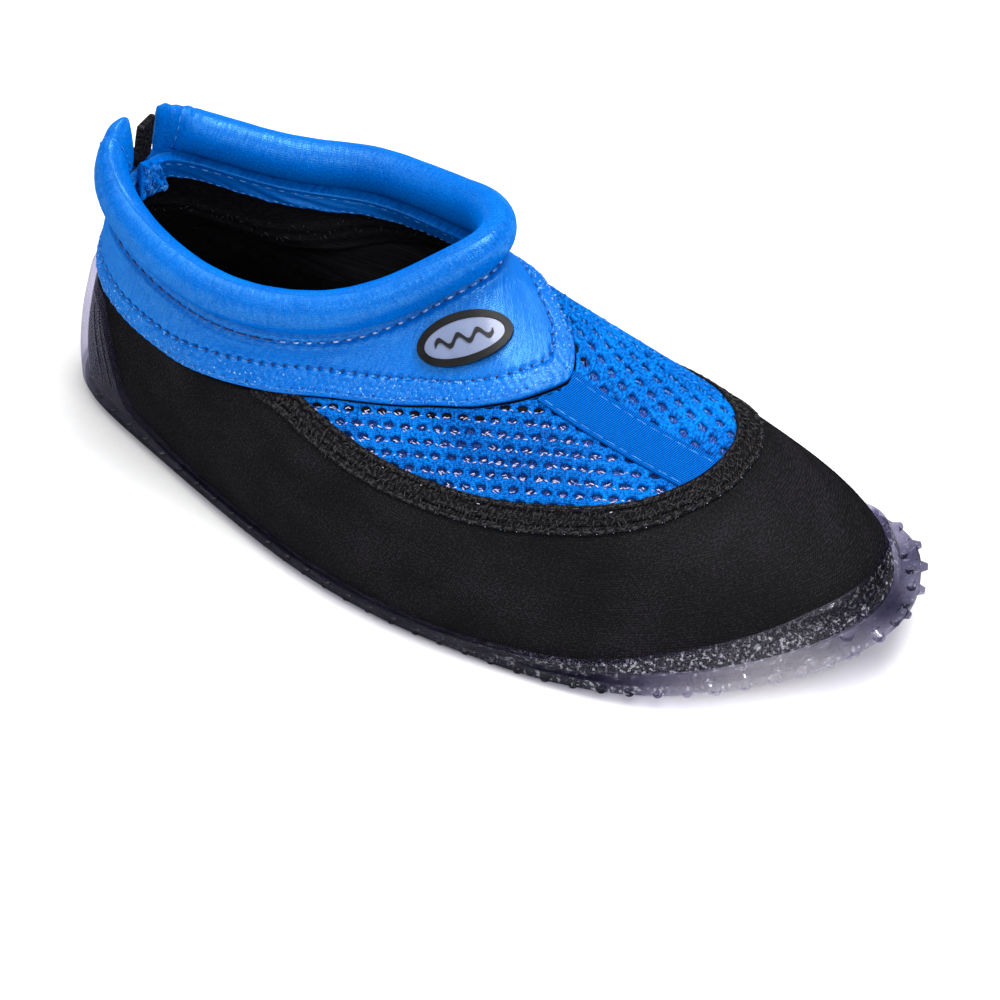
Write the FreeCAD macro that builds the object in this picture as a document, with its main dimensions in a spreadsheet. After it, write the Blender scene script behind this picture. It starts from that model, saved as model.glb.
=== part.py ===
import FreeCAD, Part
import math
import os
import Sketcher

# A low-cut neoprene water shoe for the right foot, in millimetres.
#
# Frame: +Y points to the toe, +X to the wearer's right (the outer, lateral side),
# +Z up. The last (the foot form that the upper follows) is described with its
# heel seam near y = 0; every sub-part is then moved so that the origin is the
# centre of the shoe's base on the ground.
#
# The upper is one smooth surface. A place on it is (t, w): t runs once round
# the foot from the heel seam (0) along the outer side to the toe (0.5) and back
# along the inner side to the heel (1); w runs from the sole edge (0) up to the
# collar seam (1). Every layer of the upper is a patch of that surface with its
# own pair of offsets along the outward normal.

DOC = FreeCAD.newDocument("water_shoe")

# ---------------------------------------------------------------- dimensions

DIMENSIONS = {
    # frame: the last's point that becomes the origin
    "origin_x": 8.6,
    "origin_y": 141.4,
    # outsole
    "sole_bottom": 2.0,
    "sole_top": 5.8,
    "foot_floor": 6.0,
    "spring_start_y": 180.0,
    "spring_radius": 312.0,
    "stud_root": 1.0,
    "edge_stud_radius": 1.9,
    "edge_stud_pitch": 8.2,
    "edge_stud_inset": 2.6,
    "tread_stud_radius": 2.7,
    "tread_stud_pitch": 13.0,
    "tread_stud_inset": 9.5,
    "toe_stud_radius": 2.9,
    "toe_stud_reach": 2.6,
    "toe_stud_pitch": 9.0,
    "wall_thickness": 2.2,
    "wall_root": 1.6,
    # blanks that the flat sheets of the sole are cut from
    "blank_back": 20.0,
    "blank_front": 300.0,
    "blank_side": 120.0,
    "blank_height": 60.0,
    # inside the shoe
    "board_thickness": 1.2,
    "board_inset": 3.4,
    "insole_thickness": 4.0,
    "insole_inset": 3.9,
    # upper layers
    "layer_gap": 0.12,
    "seam_gap": 0.25,
    "panel_thickness": 2.5,
    "mesh_thickness": 1.6,
    "lining_thickness": 1.5,
    "band_thickness": 2.4,
    "band_stand_off": 1.5,
    "tape_thickness": 0.7,
    "tape_width": 8.6,
    "strip_thickness": 0.85,
    "strip_width": 16.0,
    "heel_tape_width": 10.0,
    "facing_height": 9.0,
    "facing_thickness": 1.0,
    # padded collar
    "roll_height": 15.0,
    "roll_thickness": 11.5,
    "roll_cover": 1.5,
    "roll_lift": 0.45,
    "roll_end_gap": 0.030,
    # heel notch and pull loop
    "gusset_thickness": 2.0,
    "gusset_width": 8.4,
    "gusset_side": 0.85,
    "gusset_height": 17.0,
    "loop_width": 10.0,
    "loop_ply": 1.3,
    "loop_length": 24.0,
    "loop_gap": 1.2,
    "loop_seam": 2.5,
    "loop_stand_off": 0.45,
    # badge
    "badge_length": 29.0,
    "badge_height": 15.5,
    "badge_rim": 2.2,
    "badge_thickness": 2.6,
    "badge_floor": 1.5,
    "plate_thickness": 0.6,
    "emblem_thickness": 0.5,
}

# One row for each sixteenth of the way round the last:
# sole edge x and y, collar seam x, y and z, then how the side rises from the
# sole (reach and outward angle) and how it falls from the collar (reach and
# outward angle). Reaches are in millimetres and angles in degrees.
LAST_COLUMNS = ("base_x", "base_y", "collar_x", "collar_y", "collar_z",
                "rise_reach", "rise_angle", "fall_reach", "fall_angle")
LAST_ROWS = (
    (0, 3, 0, 18, 81, 28, 2, 24, 12),
    (20, 10, 12, 18, 80, 28, 3, 24, 11),
    (33, 38, 24, 28, 75, 26, 6, 20, 12),
    (49, 84, 33, 54, 70, 22, 2, 22, 16),
    (59, 126, 32, 78, 67, 20, 0, 26, 22),
    (60, 168, 24, 101, 69, 22, 0, 34, 32),
    (51, 214, 13, 117, 75, 24, 0, 41, 42),
    (30, 251, 2, 128, 82, 30, 0, 44, 50),
    (0, 272, -10, 134, 86, 30, 0, 46, 42),
    (-30, 260, -21, 128, 83, 33, 0, 36, 33),
    (-41, 228, -29, 117, 77, 21, 0, 36, 30),
    (-40, 188, -35, 101, 72, 22, 0, 28, 30),
    (-34, 146, -36, 78, 70, 22, 0, 22, 21),
    (-28, 102, -27, 54, 71, 24, 2, 20, 12),
    (-28, 58, -18, 30, 76, 26, 4, 22, 14),
    (-22, 16, -9, 20, 80, 28, 1, 24, 13),
)


def make_sheet():
    """The spreadsheet that holds every driving dimension and the last."""
    sheet = DOC.addObject("Spreadsheet::Sheet", "dimensions")
    row = 1
    for name, value in DIMENSIONS.items():
        sheet.set("A%d" % row, name)
        sheet.set("B%d" % row, str(value))
        sheet.setAlias("B%d" % row, name)
        row += 1
    for number, values in enumerate(LAST_ROWS):
        for column, value in zip(LAST_COLUMNS, values):
            alias = "%s_at_%d" % (column, number)
            sheet.set("A%d" % row, alias)
            sheet.set("B%d" % row, str(value))
            sheet.setAlias("B%d" % row, alias)
            row += 1
    DOC.recompute()
    return sheet


SHEET = make_sheet()


def size(name):
    return float(SHEET.get(name))


# ------------------------------------------------------------ curves and last

ROWS = len(LAST_ROWS)


def through(values):
    """Control values of the closed uniform cubic B-spline through the values."""
    control = list(values)
    count = len(control)
    for _ in range(60):
        control = [
            1.5 * values[i] - 0.25 * (control[i - 1] + control[(i + 1) % count])
            for i in range(count)
        ]
    return control


LAST_CONTROL = {
    column: through([size("%s_at_%d" % (column, i)) for i in range(ROWS)])
    for column in LAST_COLUMNS
}


def around(column, t):
    """Value of one column of the last at t, and its slope."""
    place = (t % 1.0) * ROWS
    first = int(math.floor(place)) % ROWS
    u = place - math.floor(place)
    weights = (
        (1 - u) ** 3 / 6,
        (3 * u ** 3 - 6 * u ** 2 + 4) / 6,
        (-3 * u ** 3 + 3 * u ** 2 + 3 * u + 1) / 6,
        u ** 3 / 6,
    )
    slopes = (
        -(1 - u) ** 2 / 2,
        (3 * u ** 2 - 4 * u) / 2,
        (-3 * u ** 2 + 2 * u + 1) / 2,
        u ** 2 / 2,
    )
    control = LAST_CONTROL[column]
    near = [control[(first + k - 1) % ROWS] for k in range(4)]
    value = sum(a * b for a, b in zip(weights, near))
    slope = sum(a * b for a, b in zip(slopes, near))
    return value, slope


def steps(knots, t):
    """Smooth value at t through hand-set knots (t, value), with no overshoot."""
    t = t % 1.0
    ring = [(knots[-1][0] - 1.0, knots[-1][1])] + list(knots) + [
        (knots[0][0] + 1.0, knots[0][1]),
        (knots[1][0] + 1.0, knots[1][1]),
    ]
    ring.insert(0, (knots[-2][0] - 1.0, knots[-2][1]))
    at = 1
    while ring[at + 1][0] < t:
        at += 1

    def slope(i):
        before = (ring[i][1] - ring[i - 1][1]) / (ring[i][0] - ring[i - 1][0])
        after = (ring[i + 1][1] - ring[i][1]) / (ring[i + 1][0] - ring[i][0])
        if before * after <= 0:
            return 0.0
        return 2 * before * after / (before + after)

    (t0, v0), (t1, v1) = ring[at], ring[at + 1]
    span = t1 - t0
    u = (t - t0) / span
    return ((2 * u ** 3 - 3 * u ** 2 + 1) * v0 + (u ** 3 - 2 * u ** 2 + u) * span * slope(at)
            + (3 * u ** 2 - 2 * u ** 3) * v1 + (u ** 3 - u ** 2) * span * slope(at + 1))


def spring(y):
    """How far the sole's arc lifts it off the ground at y."""
    ahead = max(0.0, y - size("spring_start_y"))
    radius = size("spring_radius")
    return radius - math.sqrt(radius ** 2 - ahead ** 2)


def outward(dx, dy):
    length = math.hypot(dx, dy)
    return FreeCAD.Vector(dy / length, -dx / length, 0)


def base_point(t, reach=0.0):
    """Sole edge of the last at t in plan, moved outwards by reach."""
    x, dx = around("base_x", t)
    y, dy = around("base_y", t)
    return FreeCAD.Vector(x, y, 0) + outward(dx, dy) * reach


def surface(t, w):
    """The upper's own surface: a cubic from the sole edge to the collar seam."""
    x, dx = around("base_x", t)
    y, dy = around("base_y", t)
    floor = size("foot_floor") + spring(y)
    start = FreeCAD.Vector(x, y, floor)
    out_low = outward(dx, dy)
    x, dx = around("collar_x", t)
    y, dy = around("collar_y", t)
    end = FreeCAD.Vector(x, y, around("collar_z", t)[0])
    out_high = outward(dx, dy)
    rise = around("rise_reach", t)[0]
    rise_angle = math.radians(around("rise_angle", t)[0])
    fall = around("fall_reach", t)[0]
    fall_angle = math.radians(around("fall_angle", t)[0])
    up = FreeCAD.Vector(0, 0, 1)
    leave = start + (out_low * math.sin(rise_angle) + up * math.cos(rise_angle)) * rise
    arrive = end + (out_high * math.sin(fall_angle) - up * math.cos(fall_angle)) * fall
    v = 1.0 - w
    return start * v ** 3 + leave * (3 * v * v * w) + arrive * (3 * v * w * w) + end * w ** 3


def normal(t, w):
    step = 1e-3
    along = surface(t + step, w) - surface(t - step, w)
    rise = surface(t, min(w + step, 1.0)) - surface(t, max(w - step, 0.0))
    return along.cross(rise).normalize()


def layer_point(t, w, offset):
    return surface(t, w) + normal(t, w) * offset


def collar_slope(t):
    """Millimetres walked up the surface for each unit of w, at the collar seam."""
    return 3 * around("fall_reach", t)[0]


# ------------------------------------------------- lines drawn on the upper

# lower edge of the ankle band
BAND_EDGE = ((0.0, 0.62), (0.06, 0.60), (0.125, 0.565), (0.17, 0.62), (0.21, 0.70),
             (0.25, 0.755), (0.31, 0.80), (0.37, 0.78), (0.414, 0.745), (0.445, 0.733),
             (0.475, 0.733), (0.497, 0.765), (0.515, 0.81), (0.545, 0.83), (0.60, 0.82),
             (0.66, 0.80), (0.72, 0.78), (0.77, 0.73), (0.82, 0.64), (0.87, 0.57), (0.94, 0.60))

# edge where the black side panel meets the mesh vamp
VAMP_EDGE = ((0.262, 0.765), (0.285, 0.684), (0.312, 0.600), (0.345, 0.548), (0.371, 0.518),
             (0.396, 0.493), (0.420, 0.468), (0.443, 0.457), (0.470, 0.461), (0.498, 0.463),
             (0.524, 0.453), (0.545, 0.449), (0.570, 0.462), (0.600, 0.497), (0.630, 0.550),
             (0.655, 0.612), (0.677, 0.690), (0.698, 0.775))
VAMP_START = VAMP_EDGE[0][0]
VAMP_END = VAMP_EDGE[-1][0]

# top of the sole's wrapping wall, with the cup behind the heel
WALL_EDGE = ((0.0, 0.50), (0.06, 0.52), (0.092, 0.515), (0.100, 0.46), (0.110, 0.24),
             (0.118, 0.075), (0.130, 0.065), (0.150, 0.035), (0.180, 0.025), (0.300, 0.025),
             (0.330, 0.040), (0.370, 0.066), (0.400, 0.094), (0.440, 0.108), (0.474, 0.125),
             (0.500, 0.122), (0.530, 0.115), (0.570, 0.095), (0.610, 0.060), (0.660, 0.030),
             (0.820, 0.025), (0.850, 0.035), (0.870, 0.065), (0.882, 0.075), (0.890, 0.24),
             (0.900, 0.46), (0.908, 0.515), (0.94, 0.52))

# how far the outsole reaches beyond the last's sole edge
FLANGE = ((0.0, 1.4), (0.12, 1.4), (0.18, 1.2), (0.30, 1.2), (0.35, 3.0), (0.40, 5.5),
          (0.45, 7.5), (0.50, 8.0), (0.55, 8.0), (0.60, 6.0), (0.65, 3.5), (0.72, 2.5),
          (0.85, 2.0), (0.94, 1.4))

# middle of the webbing strip, from the band down to the toe end of the mesh
STRIP_TOP = (0.467, 0.733)
STRIP_FOOT = (0.485, 0.462)


def band_edge(t):
    return steps(BAND_EDGE, t)


def vamp_edge(t):
    return steps(VAMP_EDGE, t)


def panel_top(t):
    """Upper edge of the black panel: the vamp's edge in front, the band behind."""
    t = t % 1.0
    if VAMP_START < t < VAMP_END:
        return min(vamp_edge(t), band_edge(t))
    return band_edge(t)


def strip_middle(w):
    share = (w - STRIP_TOP[1]) / (STRIP_FOOT[1] - STRIP_TOP[1])
    return STRIP_TOP[0] + share * (STRIP_FOOT[0] - STRIP_TOP[0])


# --------------------------------------------------------------- solid makers


def skin(grid):
    """Smooth surface through a grid of points."""
    sheet = Part.BSplineSurface()
    sheet.interpolate(grid)
    return sheet


def closed_solid(faces):
    """Solid inside a set of faces that meet edge to edge."""
    pile = Part.makeCompound(faces)
    pile.sewShape()
    solid = Part.makeSolid(Part.makeShell(pile.Faces))
    if solid.Volume < 0:
        solid.reverse()
    return solid


def rim_between(first, second):
    """Narrow face between the matching borders of two surfaces."""
    same_way = 1
    return Part.makeRuledSurface(first.toShape(), second.toShape(), same_way)


def patch_solid(place, low, high, across, up):
    """Solid between two offsets of the upper, over the patch that place(u, v) names."""
    skins = []
    for offset in (low, high):
        grid = []
        for i in range(across + 1):
            line = []
            for j in range(up + 1):
                t, w = place(i / across, j / up)
                line.append(layer_point(t, w, offset))
            grid.append(line)
        skins.append(skin(grid))
    inner, outer = skins
    u_start, u_end, v_start, v_end = inner.bounds()
    rims = []
    for u in (u_start, u_end):
        rims.append(rim_between(inner.uIso(u), outer.uIso(u)))
    for v in (v_start, v_end):
        rims.append(rim_between(inner.vIso(v), outer.vIso(v)))
    return closed_solid([inner.toShape(), outer.toShape()] + rims)


def closed_skin(line, across):
    """Surface that closes on itself: line(share) gives its points at a share of the way round."""
    grid = [line(i / across) for i in range(across)]
    grid.append(list(grid[0]))
    return skin(grid)


def ring_solid(inner_line, outer_line, across):
    """Closed ring or open tube between an inner and an outer closed surface."""
    inner = closed_skin(inner_line, across)
    outer = closed_skin(outer_line, across)
    rims = []
    for v in inner.bounds()[2:]:
        rims.append(rim_between(inner.vIso(v), outer.vIso(v)))
    return closed_solid([inner.toShape(), outer.toShape()] + rims)


def capped_solid(line, across):
    """Bar inside one closed surface, with a flat cap at each end."""
    side = closed_skin(line, across)
    caps = []
    for v in side.bounds()[2:]:
        caps.append(Part.Face(Part.Wire([side.vIso(v).toShape()])))
    return closed_solid([side.toShape()] + caps)


# ------------------------------------------------------------- document parts

PARTS = []


def keep(item, label):
    """Give a finished sub-part its name and move it to the shoe's own frame."""
    item.Label = label
    item.Placement = FreeCAD.Placement(
        FreeCAD.Vector(-size("origin_x"), -size("origin_y"), 0), FreeCAD.Rotation())
    item.setExpression("Placement.Base.x", "-dimensions.origin_x")
    item.setExpression("Placement.Base.y", "-dimensions.origin_y")
    PARTS.append(item)
    return item


def shaped(label, shape):
    """A sub-part whose freeform shape comes from the last."""
    item = DOC.addObject("Part::Feature", label)
    item.Shape = shape
    return keep(item, label)


def outline(name, inset, count=64):
    """Closed plan curve that runs inset inside the sole edge of the last."""
    points = []
    for i in range(count):
        points.append(base_point(i / count, -inset))
    curve = Part.BSplineCurve()
    curve.interpolate(points, PeriodicFlag=True)
    item = DOC.addObject("Part::Feature", name)
    item.Shape = Part.Wire([curve.toShape()])
    return item


def sole_outline(count=72):
    points = []
    for i in range(count):
        t = i / count
        points.append(base_point(t, steps(FLANGE, t)))
    return points


def upright(name, wire):
    """Block over a plan curve, as high as the blank."""
    block = DOC.addObject("Part::Extrusion", name)
    block.Base = wire
    block.DirMode = "Custom"
    block.Dir = FreeCAD.Vector(0, 0, 1)
    block.Solid = True
    block.setExpression("LengthFwd", "dimensions.blank_height")
    return block


def total(names):
    """Sum of named dimensions."""
    return sum(size(name) for name in names)


def formula(names):
    """The same sum as an expression on the sheet."""
    return " + ".join("dimensions." + name for name in names)


def bind(sketch, constraint, expression):
    """Add a sized constraint whose value comes from the sheet."""
    number = sketch.addConstraint(constraint)
    sketch.setExpression("Constraints[%d]" % number, expression)


LINE_START = 1
LINE_END = 2
ARC_CENTRE = 3
AXES = -1


def side_profile(name, low, high):
    """Sketch of a sheet of the sole from the side: flat, then the toe arc.

    low and high name the dimensions that add up to the heights of its two faces.
    """
    sketch = DOC.addObject("Sketcher::SketchObject", name)
    sketch.Placement = FreeCAD.Placement(
        FreeCAD.Vector(-size("blank_side"), 0, 0),
        FreeCAD.Rotation(FreeCAD.Vector(0, 1, 0), FreeCAD.Vector(0, 0, 1), FreeCAD.Vector(1, 0, 0)))
    sketch.setExpression("Placement.Base.x", "-dimensions.blank_side")
    back = -size("blank_back")
    front = size("blank_front")
    start = size("spring_start_y")
    radius = size("spring_radius")
    sweep = math.asin((front - start) / radius)
    quarter = math.pi / 2
    for number, names in enumerate((low, high)):
        level = total(names)
        line = 2 * number
        arc = line + 1
        bend = FreeCAD.Vector(start, level, 0)
        circle = Part.Circle(bend + FreeCAD.Vector(0, radius, 0), FreeCAD.Vector(0, 0, 1), radius)
        sketch.addGeometry(Part.LineSegment(FreeCAD.Vector(back, level, 0), bend), False)
        sketch.addGeometry(Part.ArcOfCircle(circle, -quarter, sweep - quarter), False)
        sketch.addConstraint(Sketcher.Constraint("Horizontal", line))
        sketch.addConstraint(Sketcher.Constraint("Coincident", line, LINE_END, arc, LINE_START))
        sketch.addConstraint(Sketcher.Constraint("Vertical", line, LINE_END, arc, ARC_CENTRE))
        bind(sketch, Sketcher.Constraint("DistanceX", AXES, LINE_START, line, LINE_START, back),
             "-dimensions.blank_back")
        bind(sketch, Sketcher.Constraint("DistanceX", AXES, LINE_START, line, LINE_END, start),
             "dimensions.spring_start_y")
        bind(sketch, Sketcher.Constraint("DistanceY", AXES, LINE_START, line, LINE_END, level),
             formula(names))
        bind(sketch, Sketcher.Constraint("Radius", arc, radius), "dimensions.spring_radius")
        bind(sketch, Sketcher.Constraint("DistanceX", AXES, LINE_START, arc, LINE_END, front),
             "dimensions.blank_front")
    for end, first, second in ((LINE_START, 0, 2), (LINE_END, 1, 3)):
        ends = []
        for geometry in (first, second):
            ends.append(sketch.getPoint(geometry, end))
        closing = sketch.addGeometry(Part.LineSegment(ends[0], ends[1]), False)
        sketch.addConstraint(Sketcher.Constraint("Coincident", closing, LINE_START, first, end))
        sketch.addConstraint(Sketcher.Constraint("Coincident", closing, LINE_END, second, end))
    return sketch


def sprung_sheet(name, wire, low, high):
    """Flat-bottomed sheet with the sole's toe arc: plan block met by side profile."""
    block = upright(name + "_block", wire)
    slab = DOC.addObject("Part::Extrusion", name + "_slab")
    slab.Base = side_profile(name + "_profile", low, high)
    slab.DirMode = "Custom"
    slab.Dir = FreeCAD.Vector(1, 0, 0)
    slab.setExpression("LengthFwd", "2 * dimensions.blank_side")
    slab.Solid = True
    both = DOC.addObject("Part::Common", name)
    both.Base = block
    both.Tool = slab
    return both


def inside(point, loop):
    """Whether a plan point lies inside a closed loop of points."""
    hit = False
    for a, b in zip(loop, loop[1:] + loop[:1]):
        if (a.y > point.y) != (b.y > point.y):
            crossing = a.x + (point.y - a.y) * (b.x - a.x) / (b.y - a.y)
            if point.x < crossing:
                hit = not hit
    return hit


STUD_TAPER = 0.72


def stud(centre, radius):
    """Round stud under the sole, narrower at its foot and rooted in the plate."""
    foot = FreeCAD.Vector(centre.x, centre.y, spring(centre.y))
    height = size("sole_bottom") + size("stud_root")
    return Part.makeCone(radius * STUD_TAPER, radius, height, foot)


def edge_studs():
    """Row of studs all round the edge of the outsole."""
    studs = []
    inset = size("edge_stud_inset")
    pitch = size("edge_stud_pitch")
    samples = 1400
    walked = pitch
    last = None
    for i in range(samples):
        t = i / samples
        point = base_point(t, steps(FLANGE, t) - inset)
        if last is not None:
            walked += (point - last).Length
        last = point
        if walked >= pitch:
            walked = 0.0
            studs.append(stud(point, size("edge_stud_radius")))
    return studs


# plan place of the tread pattern's first stud, outside the sole's heel on the inner side
TREAD_CORNER = (-52.0, 8.0)


def tread_studs():
    """Studs in staggered rows under the foot."""
    studs = []
    loop = []
    samples = 120
    for i in range(samples):
        t = i / samples
        loop.append(base_point(t, steps(FLANGE, t) - size("tread_stud_inset")))
    right = max(point.x for point in loop)
    front = max(point.y for point in loop)
    pitch = size("tread_stud_pitch")
    row_step = pitch * math.sqrt(3) / 2
    row = 0
    y = TREAD_CORNER[1]
    while y < front:
        x = TREAD_CORNER[0] + (pitch / 2 if row % 2 else 0.0)
        while x < right:
            point = FreeCAD.Vector(x, y, 0)
            if inside(point, loop):
                studs.append(stud(point, size("tread_stud_radius")))
            x += pitch
        y += row_step
        row += 1
    return studs


# stretch of the toe that carries the bumper's studs, and their shape
TOE_STUDS_FIRST = 0.415
TOE_STUDS_LAST = 0.60
TOE_STUD_ROOT = 1.5
TOE_STUD_BASE = 0.8
TOE_STUD_TIP = 0.35
TOE_STUD_LIFT = 0.6


def toe_studs():
    """Pointed studs that stand out of the toe bumper's rim."""
    studs = []
    t = TOE_STUDS_FIRST
    radius = size("toe_stud_radius")
    reach = size("toe_stud_reach") + TOE_STUD_ROOT - TOE_STUD_LIFT
    middle = 0.5 * (size("sole_bottom") + size("sole_top")) + TOE_STUD_LIFT
    while t < TOE_STUDS_LAST:
        foot = base_point(t, steps(FLANGE, t))
        out = (base_point(t, 1.0) - base_point(t)).normalize()
        start = FreeCAD.Vector(foot.x, foot.y, middle + spring(foot.y)) - out * TOE_STUD_ROOT
        studs.append(Part.makeCone(radius * TOE_STUD_BASE, radius * TOE_STUD_TIP, reach, start, out))
        here = base_point(t)
        small = 0.001
        step = small
        while (base_point(t + step) - here).Length < size("toe_stud_pitch"):
            step += small
        t += step
    return studs


def wall_line(offset):
    """Line of points up the sole's wall at each t, rooted in the outsole plate."""
    rows = 8
    root = size("wall_root")

    def line(t):
        top = steps(WALL_EDGE, t)
        climb = (surface(t, top) - surface(t, 0.0)).Length
        points = []
        for j in range(rows + 1):
            height = (root + climb) * j / rows - root
            point = layer_point(t, max(height, 0.0) / climb * top, offset)
            point.z += min(height, 0.0)
            points.append(point)
        return points
    return line


def make_outsole():
    """Clear moulded outsole: studded plate, wrapping wall, heel cup and toe rim."""
    curve = Part.BSplineCurve()
    curve.interpolate(sole_outline(), PeriodicFlag=True)
    wire = DOC.addObject("Part::Feature", "outsole_outline")
    wire.Shape = Part.Wire([curve.toShape()])
    plate = sprung_sheet("outsole_plate", wire, ("sole_bottom",), ("sole_top",))
    gap = size("layer_gap")
    wall = DOC.addObject("Part::Feature", "outsole_wall")
    wall.Shape = ring_solid(wall_line(gap), wall_line(gap + size("wall_thickness")), 200)
    tread = DOC.addObject("Part::Feature", "outsole_tread")
    tread.Shape = Part.makeCompound(edge_studs() + tread_studs())
    rim = DOC.addObject("Part::Feature", "outsole_toe_rim")
    rim.Shape = Part.makeCompound(toe_studs())
    studded = DOC.addObject("Part::MultiFuse", "outsole_studded")
    studded.Shapes = [plate, tread]
    DOC.recompute()
    whole = DOC.addObject("Part::MultiFuse", "outsole")
    whole.Shapes = [studded, wall, rim]
    for fused in (studded, whole):
        fused.Refine = False
    return keep(whole, "outsole")


def make_insole_layers():
    """Stitched lasting board under a foam insole."""
    board_low = ("foot_floor",)
    board_high = board_low + ("board_thickness",)
    insole_low = board_high + ("layer_gap",)
    insole_high = insole_low + ("insole_thickness",)
    keep(sprung_sheet("lasting_board", outline("board_outline", size("board_inset")),
                      board_low, board_high), "lasting_board")
    keep(sprung_sheet("insole", outline("insole_outline", size("insole_inset")),
                      insole_low, insole_high), "insole")


# half of the slit that a layer leaves at the heel seam, in t
HEEL_SLIT = 0.003

# how far each layer stops short of a line drawn on the upper, in w
EDGE_EASE = 0.003
PANEL_EASE = 0.004
VAMP_EASE = 0.009

# how far the ankle layers stop below the collar seam, in millimetres, to clear the roll
BAND_TRIM = ((0.0, 0.1), (0.16, 0.2), (0.23, 0.6), (0.28, 1.1), (0.33, 1.7), (0.38, 2.3),
             (0.43, 2.9), (0.48, 2.7), (0.53, 2.2), (0.58, 1.8), (0.63, 1.6), (0.68, 1.4),
             (0.73, 1.0), (0.78, 0.6), (0.83, 0.3), (0.93, 0.1))


def around_heel(u):
    """t for a layer that runs from the heel seam all the way round to it again."""
    return HEEL_SLIT + u * (1.0 - 2 * HEEL_SLIT)


def make_side_panel():
    """Black neoprene wrap from the heel round the toe, up to the band and the vamp."""
    def place(u, v):
        t = around_heel(u)
        return t, v * (panel_top(t) - PANEL_EASE)
    shaped("side_panel", patch_solid(place, -size("panel_thickness"), 0.0, 190, 9))


def make_ankle_layers():
    """Blue ankle band over its black lining, from the band's edge to the collar seam."""
    def place(u, v):
        t = around_heel(u)
        low = band_edge(t) + EDGE_EASE
        high = 1.0 - steps(BAND_TRIM, t) / collar_slope(t)
        return t, low + v * (high - low)
    top = size("band_stand_off")
    bottom = top - size("band_thickness")
    shaped("ankle_band", patch_solid(place, bottom, top, 150, 7))
    under = bottom - size("layer_gap")
    shaped("ankle_lining", patch_solid(place, under - size("panel_thickness"), under, 150, 7))
    return under - size("panel_thickness")


# half of the slit at the sides of the vamp, in t, and a level halfway up it
VAMP_TRIM = 0.005
VAMP_LEVEL = 0.6


def vamp_place(start, end):
    """Patch of the vamp between its edge and the band; start(w) and end(w) are its sides in t."""
    def place(u, v):
        w = VAMP_LEVEL
        # the side lines slant, so the heights are found again at each new t
        for _ in range(6):
            t = start(w) + u * (end(w) - start(w))
            low = vamp_edge(t) + VAMP_EASE
            high = band_edge(t) - 2 * EDGE_EASE
            w = low + v * (high - low)
        return t, w
    return place


def make_vamp():
    """Mesh panels either side of the middle, one lining behind them and the webbing strip."""
    def lateral_side(w):
        return VAMP_START + VAMP_TRIM

    def medial_side(w):
        return VAMP_END - VAMP_TRIM

    slit = 0.0008
    mesh = size("mesh_thickness")
    gap = size("seam_gap")
    shaped("mesh_lateral", patch_solid(
        vamp_place(lateral_side, lambda w: strip_middle(w) - slit), -mesh, 0.0, 60, 8))
    shaped("mesh_medial", patch_solid(
        vamp_place(lambda w: strip_middle(w) + slit, medial_side), -mesh, 0.0, 60, 8))
    top = -mesh - gap
    shaped("vamp_lining", patch_solid(
        vamp_place(lateral_side, medial_side), top - size("lining_thickness"), top, 90, 8))


def t_per_mm(t, w):
    step = 1e-3
    return 2 * step / (surface(t + step, w) - surface(t - step, w)).Length


def w_per_mm(t, w):
    step = 1e-3
    return 2 * step / (surface(t, w + step) - surface(t, w - step)).Length


def make_centre_strip():
    """Ribbed webbing strip down the middle of the vamp."""
    half = size("strip_width") / 2
    clear_of_tape = 0.8
    clear_of_band = 0.014

    def place(u, v):
        middle = strip_middle(VAMP_LEVEL)
        foot = vamp_edge(middle)
        low = foot + (0.5 * size("tape_width") + clear_of_tape) * w_per_mm(middle, foot)
        across = (2 * u - 1) * half
        t = middle + across * t_per_mm(middle, VAMP_LEVEL)
        high = band_edge(t) - clear_of_band
        w = low + v * (high - low)
        t = strip_middle(w) + across * t_per_mm(strip_middle(w), w)
        return t, w
    gap = size("layer_gap")
    shaped("centre_strip", patch_solid(place, gap, gap + size("strip_thickness"), 8, 16))


def make_vamp_tape():
    """Flatlocked tape over the joint between the side panel and the mesh."""
    half = size("tape_width") / 2
    first = VAMP_START + 2 * VAMP_TRIM
    last = VAMP_END - 3 * VAMP_TRIM

    def place(u, v):
        t = first + u * (last - first)
        w = vamp_edge(t)
        step = 0.002
        here = surface(t, w)
        ahead = surface(t + step, vamp_edge(t + step))
        line = (ahead - here).normalize()
        side = normal(t, w).cross(line)
        small = 1e-3
        along_t = (surface(t + small, w) - here) * (1 / small)
        along_w = (surface(t, w + small) - here) * (1 / small)
        reach = (2 * v - 1) * half
        # solve side * reach = along_t * dt + along_w * dw in the tangent plane
        a = along_t.dot(along_t)
        b = along_t.dot(along_w)
        c = along_w.dot(along_w)
        p = side.dot(along_t) * reach
        q = side.dot(along_w) * reach
        det = a * c - b * b
        dt = (p * c - q * b) / det
        dw = (q * a - p * b) / det
        return t + dt, w + dw
    # the tape rides over the folded edges below it
    gap = 2 * size("seam_gap")
    shaped("vamp_tape", patch_solid(place, gap, gap + size("tape_thickness"), 90, 4))


def make_heel_tape():
    """Black tape over the heel seam, between the heel cup and the band."""
    half = size("heel_tape_width") / 2

    def place(u, v):
        low = steps(WALL_EDGE, 0.0) + 4 * EDGE_EASE
        high = band_edge(0.0) - 2 * EDGE_EASE
        w = low + v * (high - low)
        return (2 * u - 1) * half * t_per_mm(0.0, w), w
    gap = size("layer_gap")
    shaped("heel_tape", patch_solid(place, gap, gap + size("tape_thickness"), 6, 4))


def make_facing(under):
    """Blue facing strip inside the collar, below the roll."""
    def place(u, v):
        t = around_heel(u)
        low = 1.0 - size("facing_height") / collar_slope(t)
        high = 1.0 - EDGE_EASE
        return t, low + v * (high - low)
    top = under - size("layer_gap")
    shaped("collar_facing", patch_solid(place, top - size("facing_thickness"), top, 150, 4))


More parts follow.
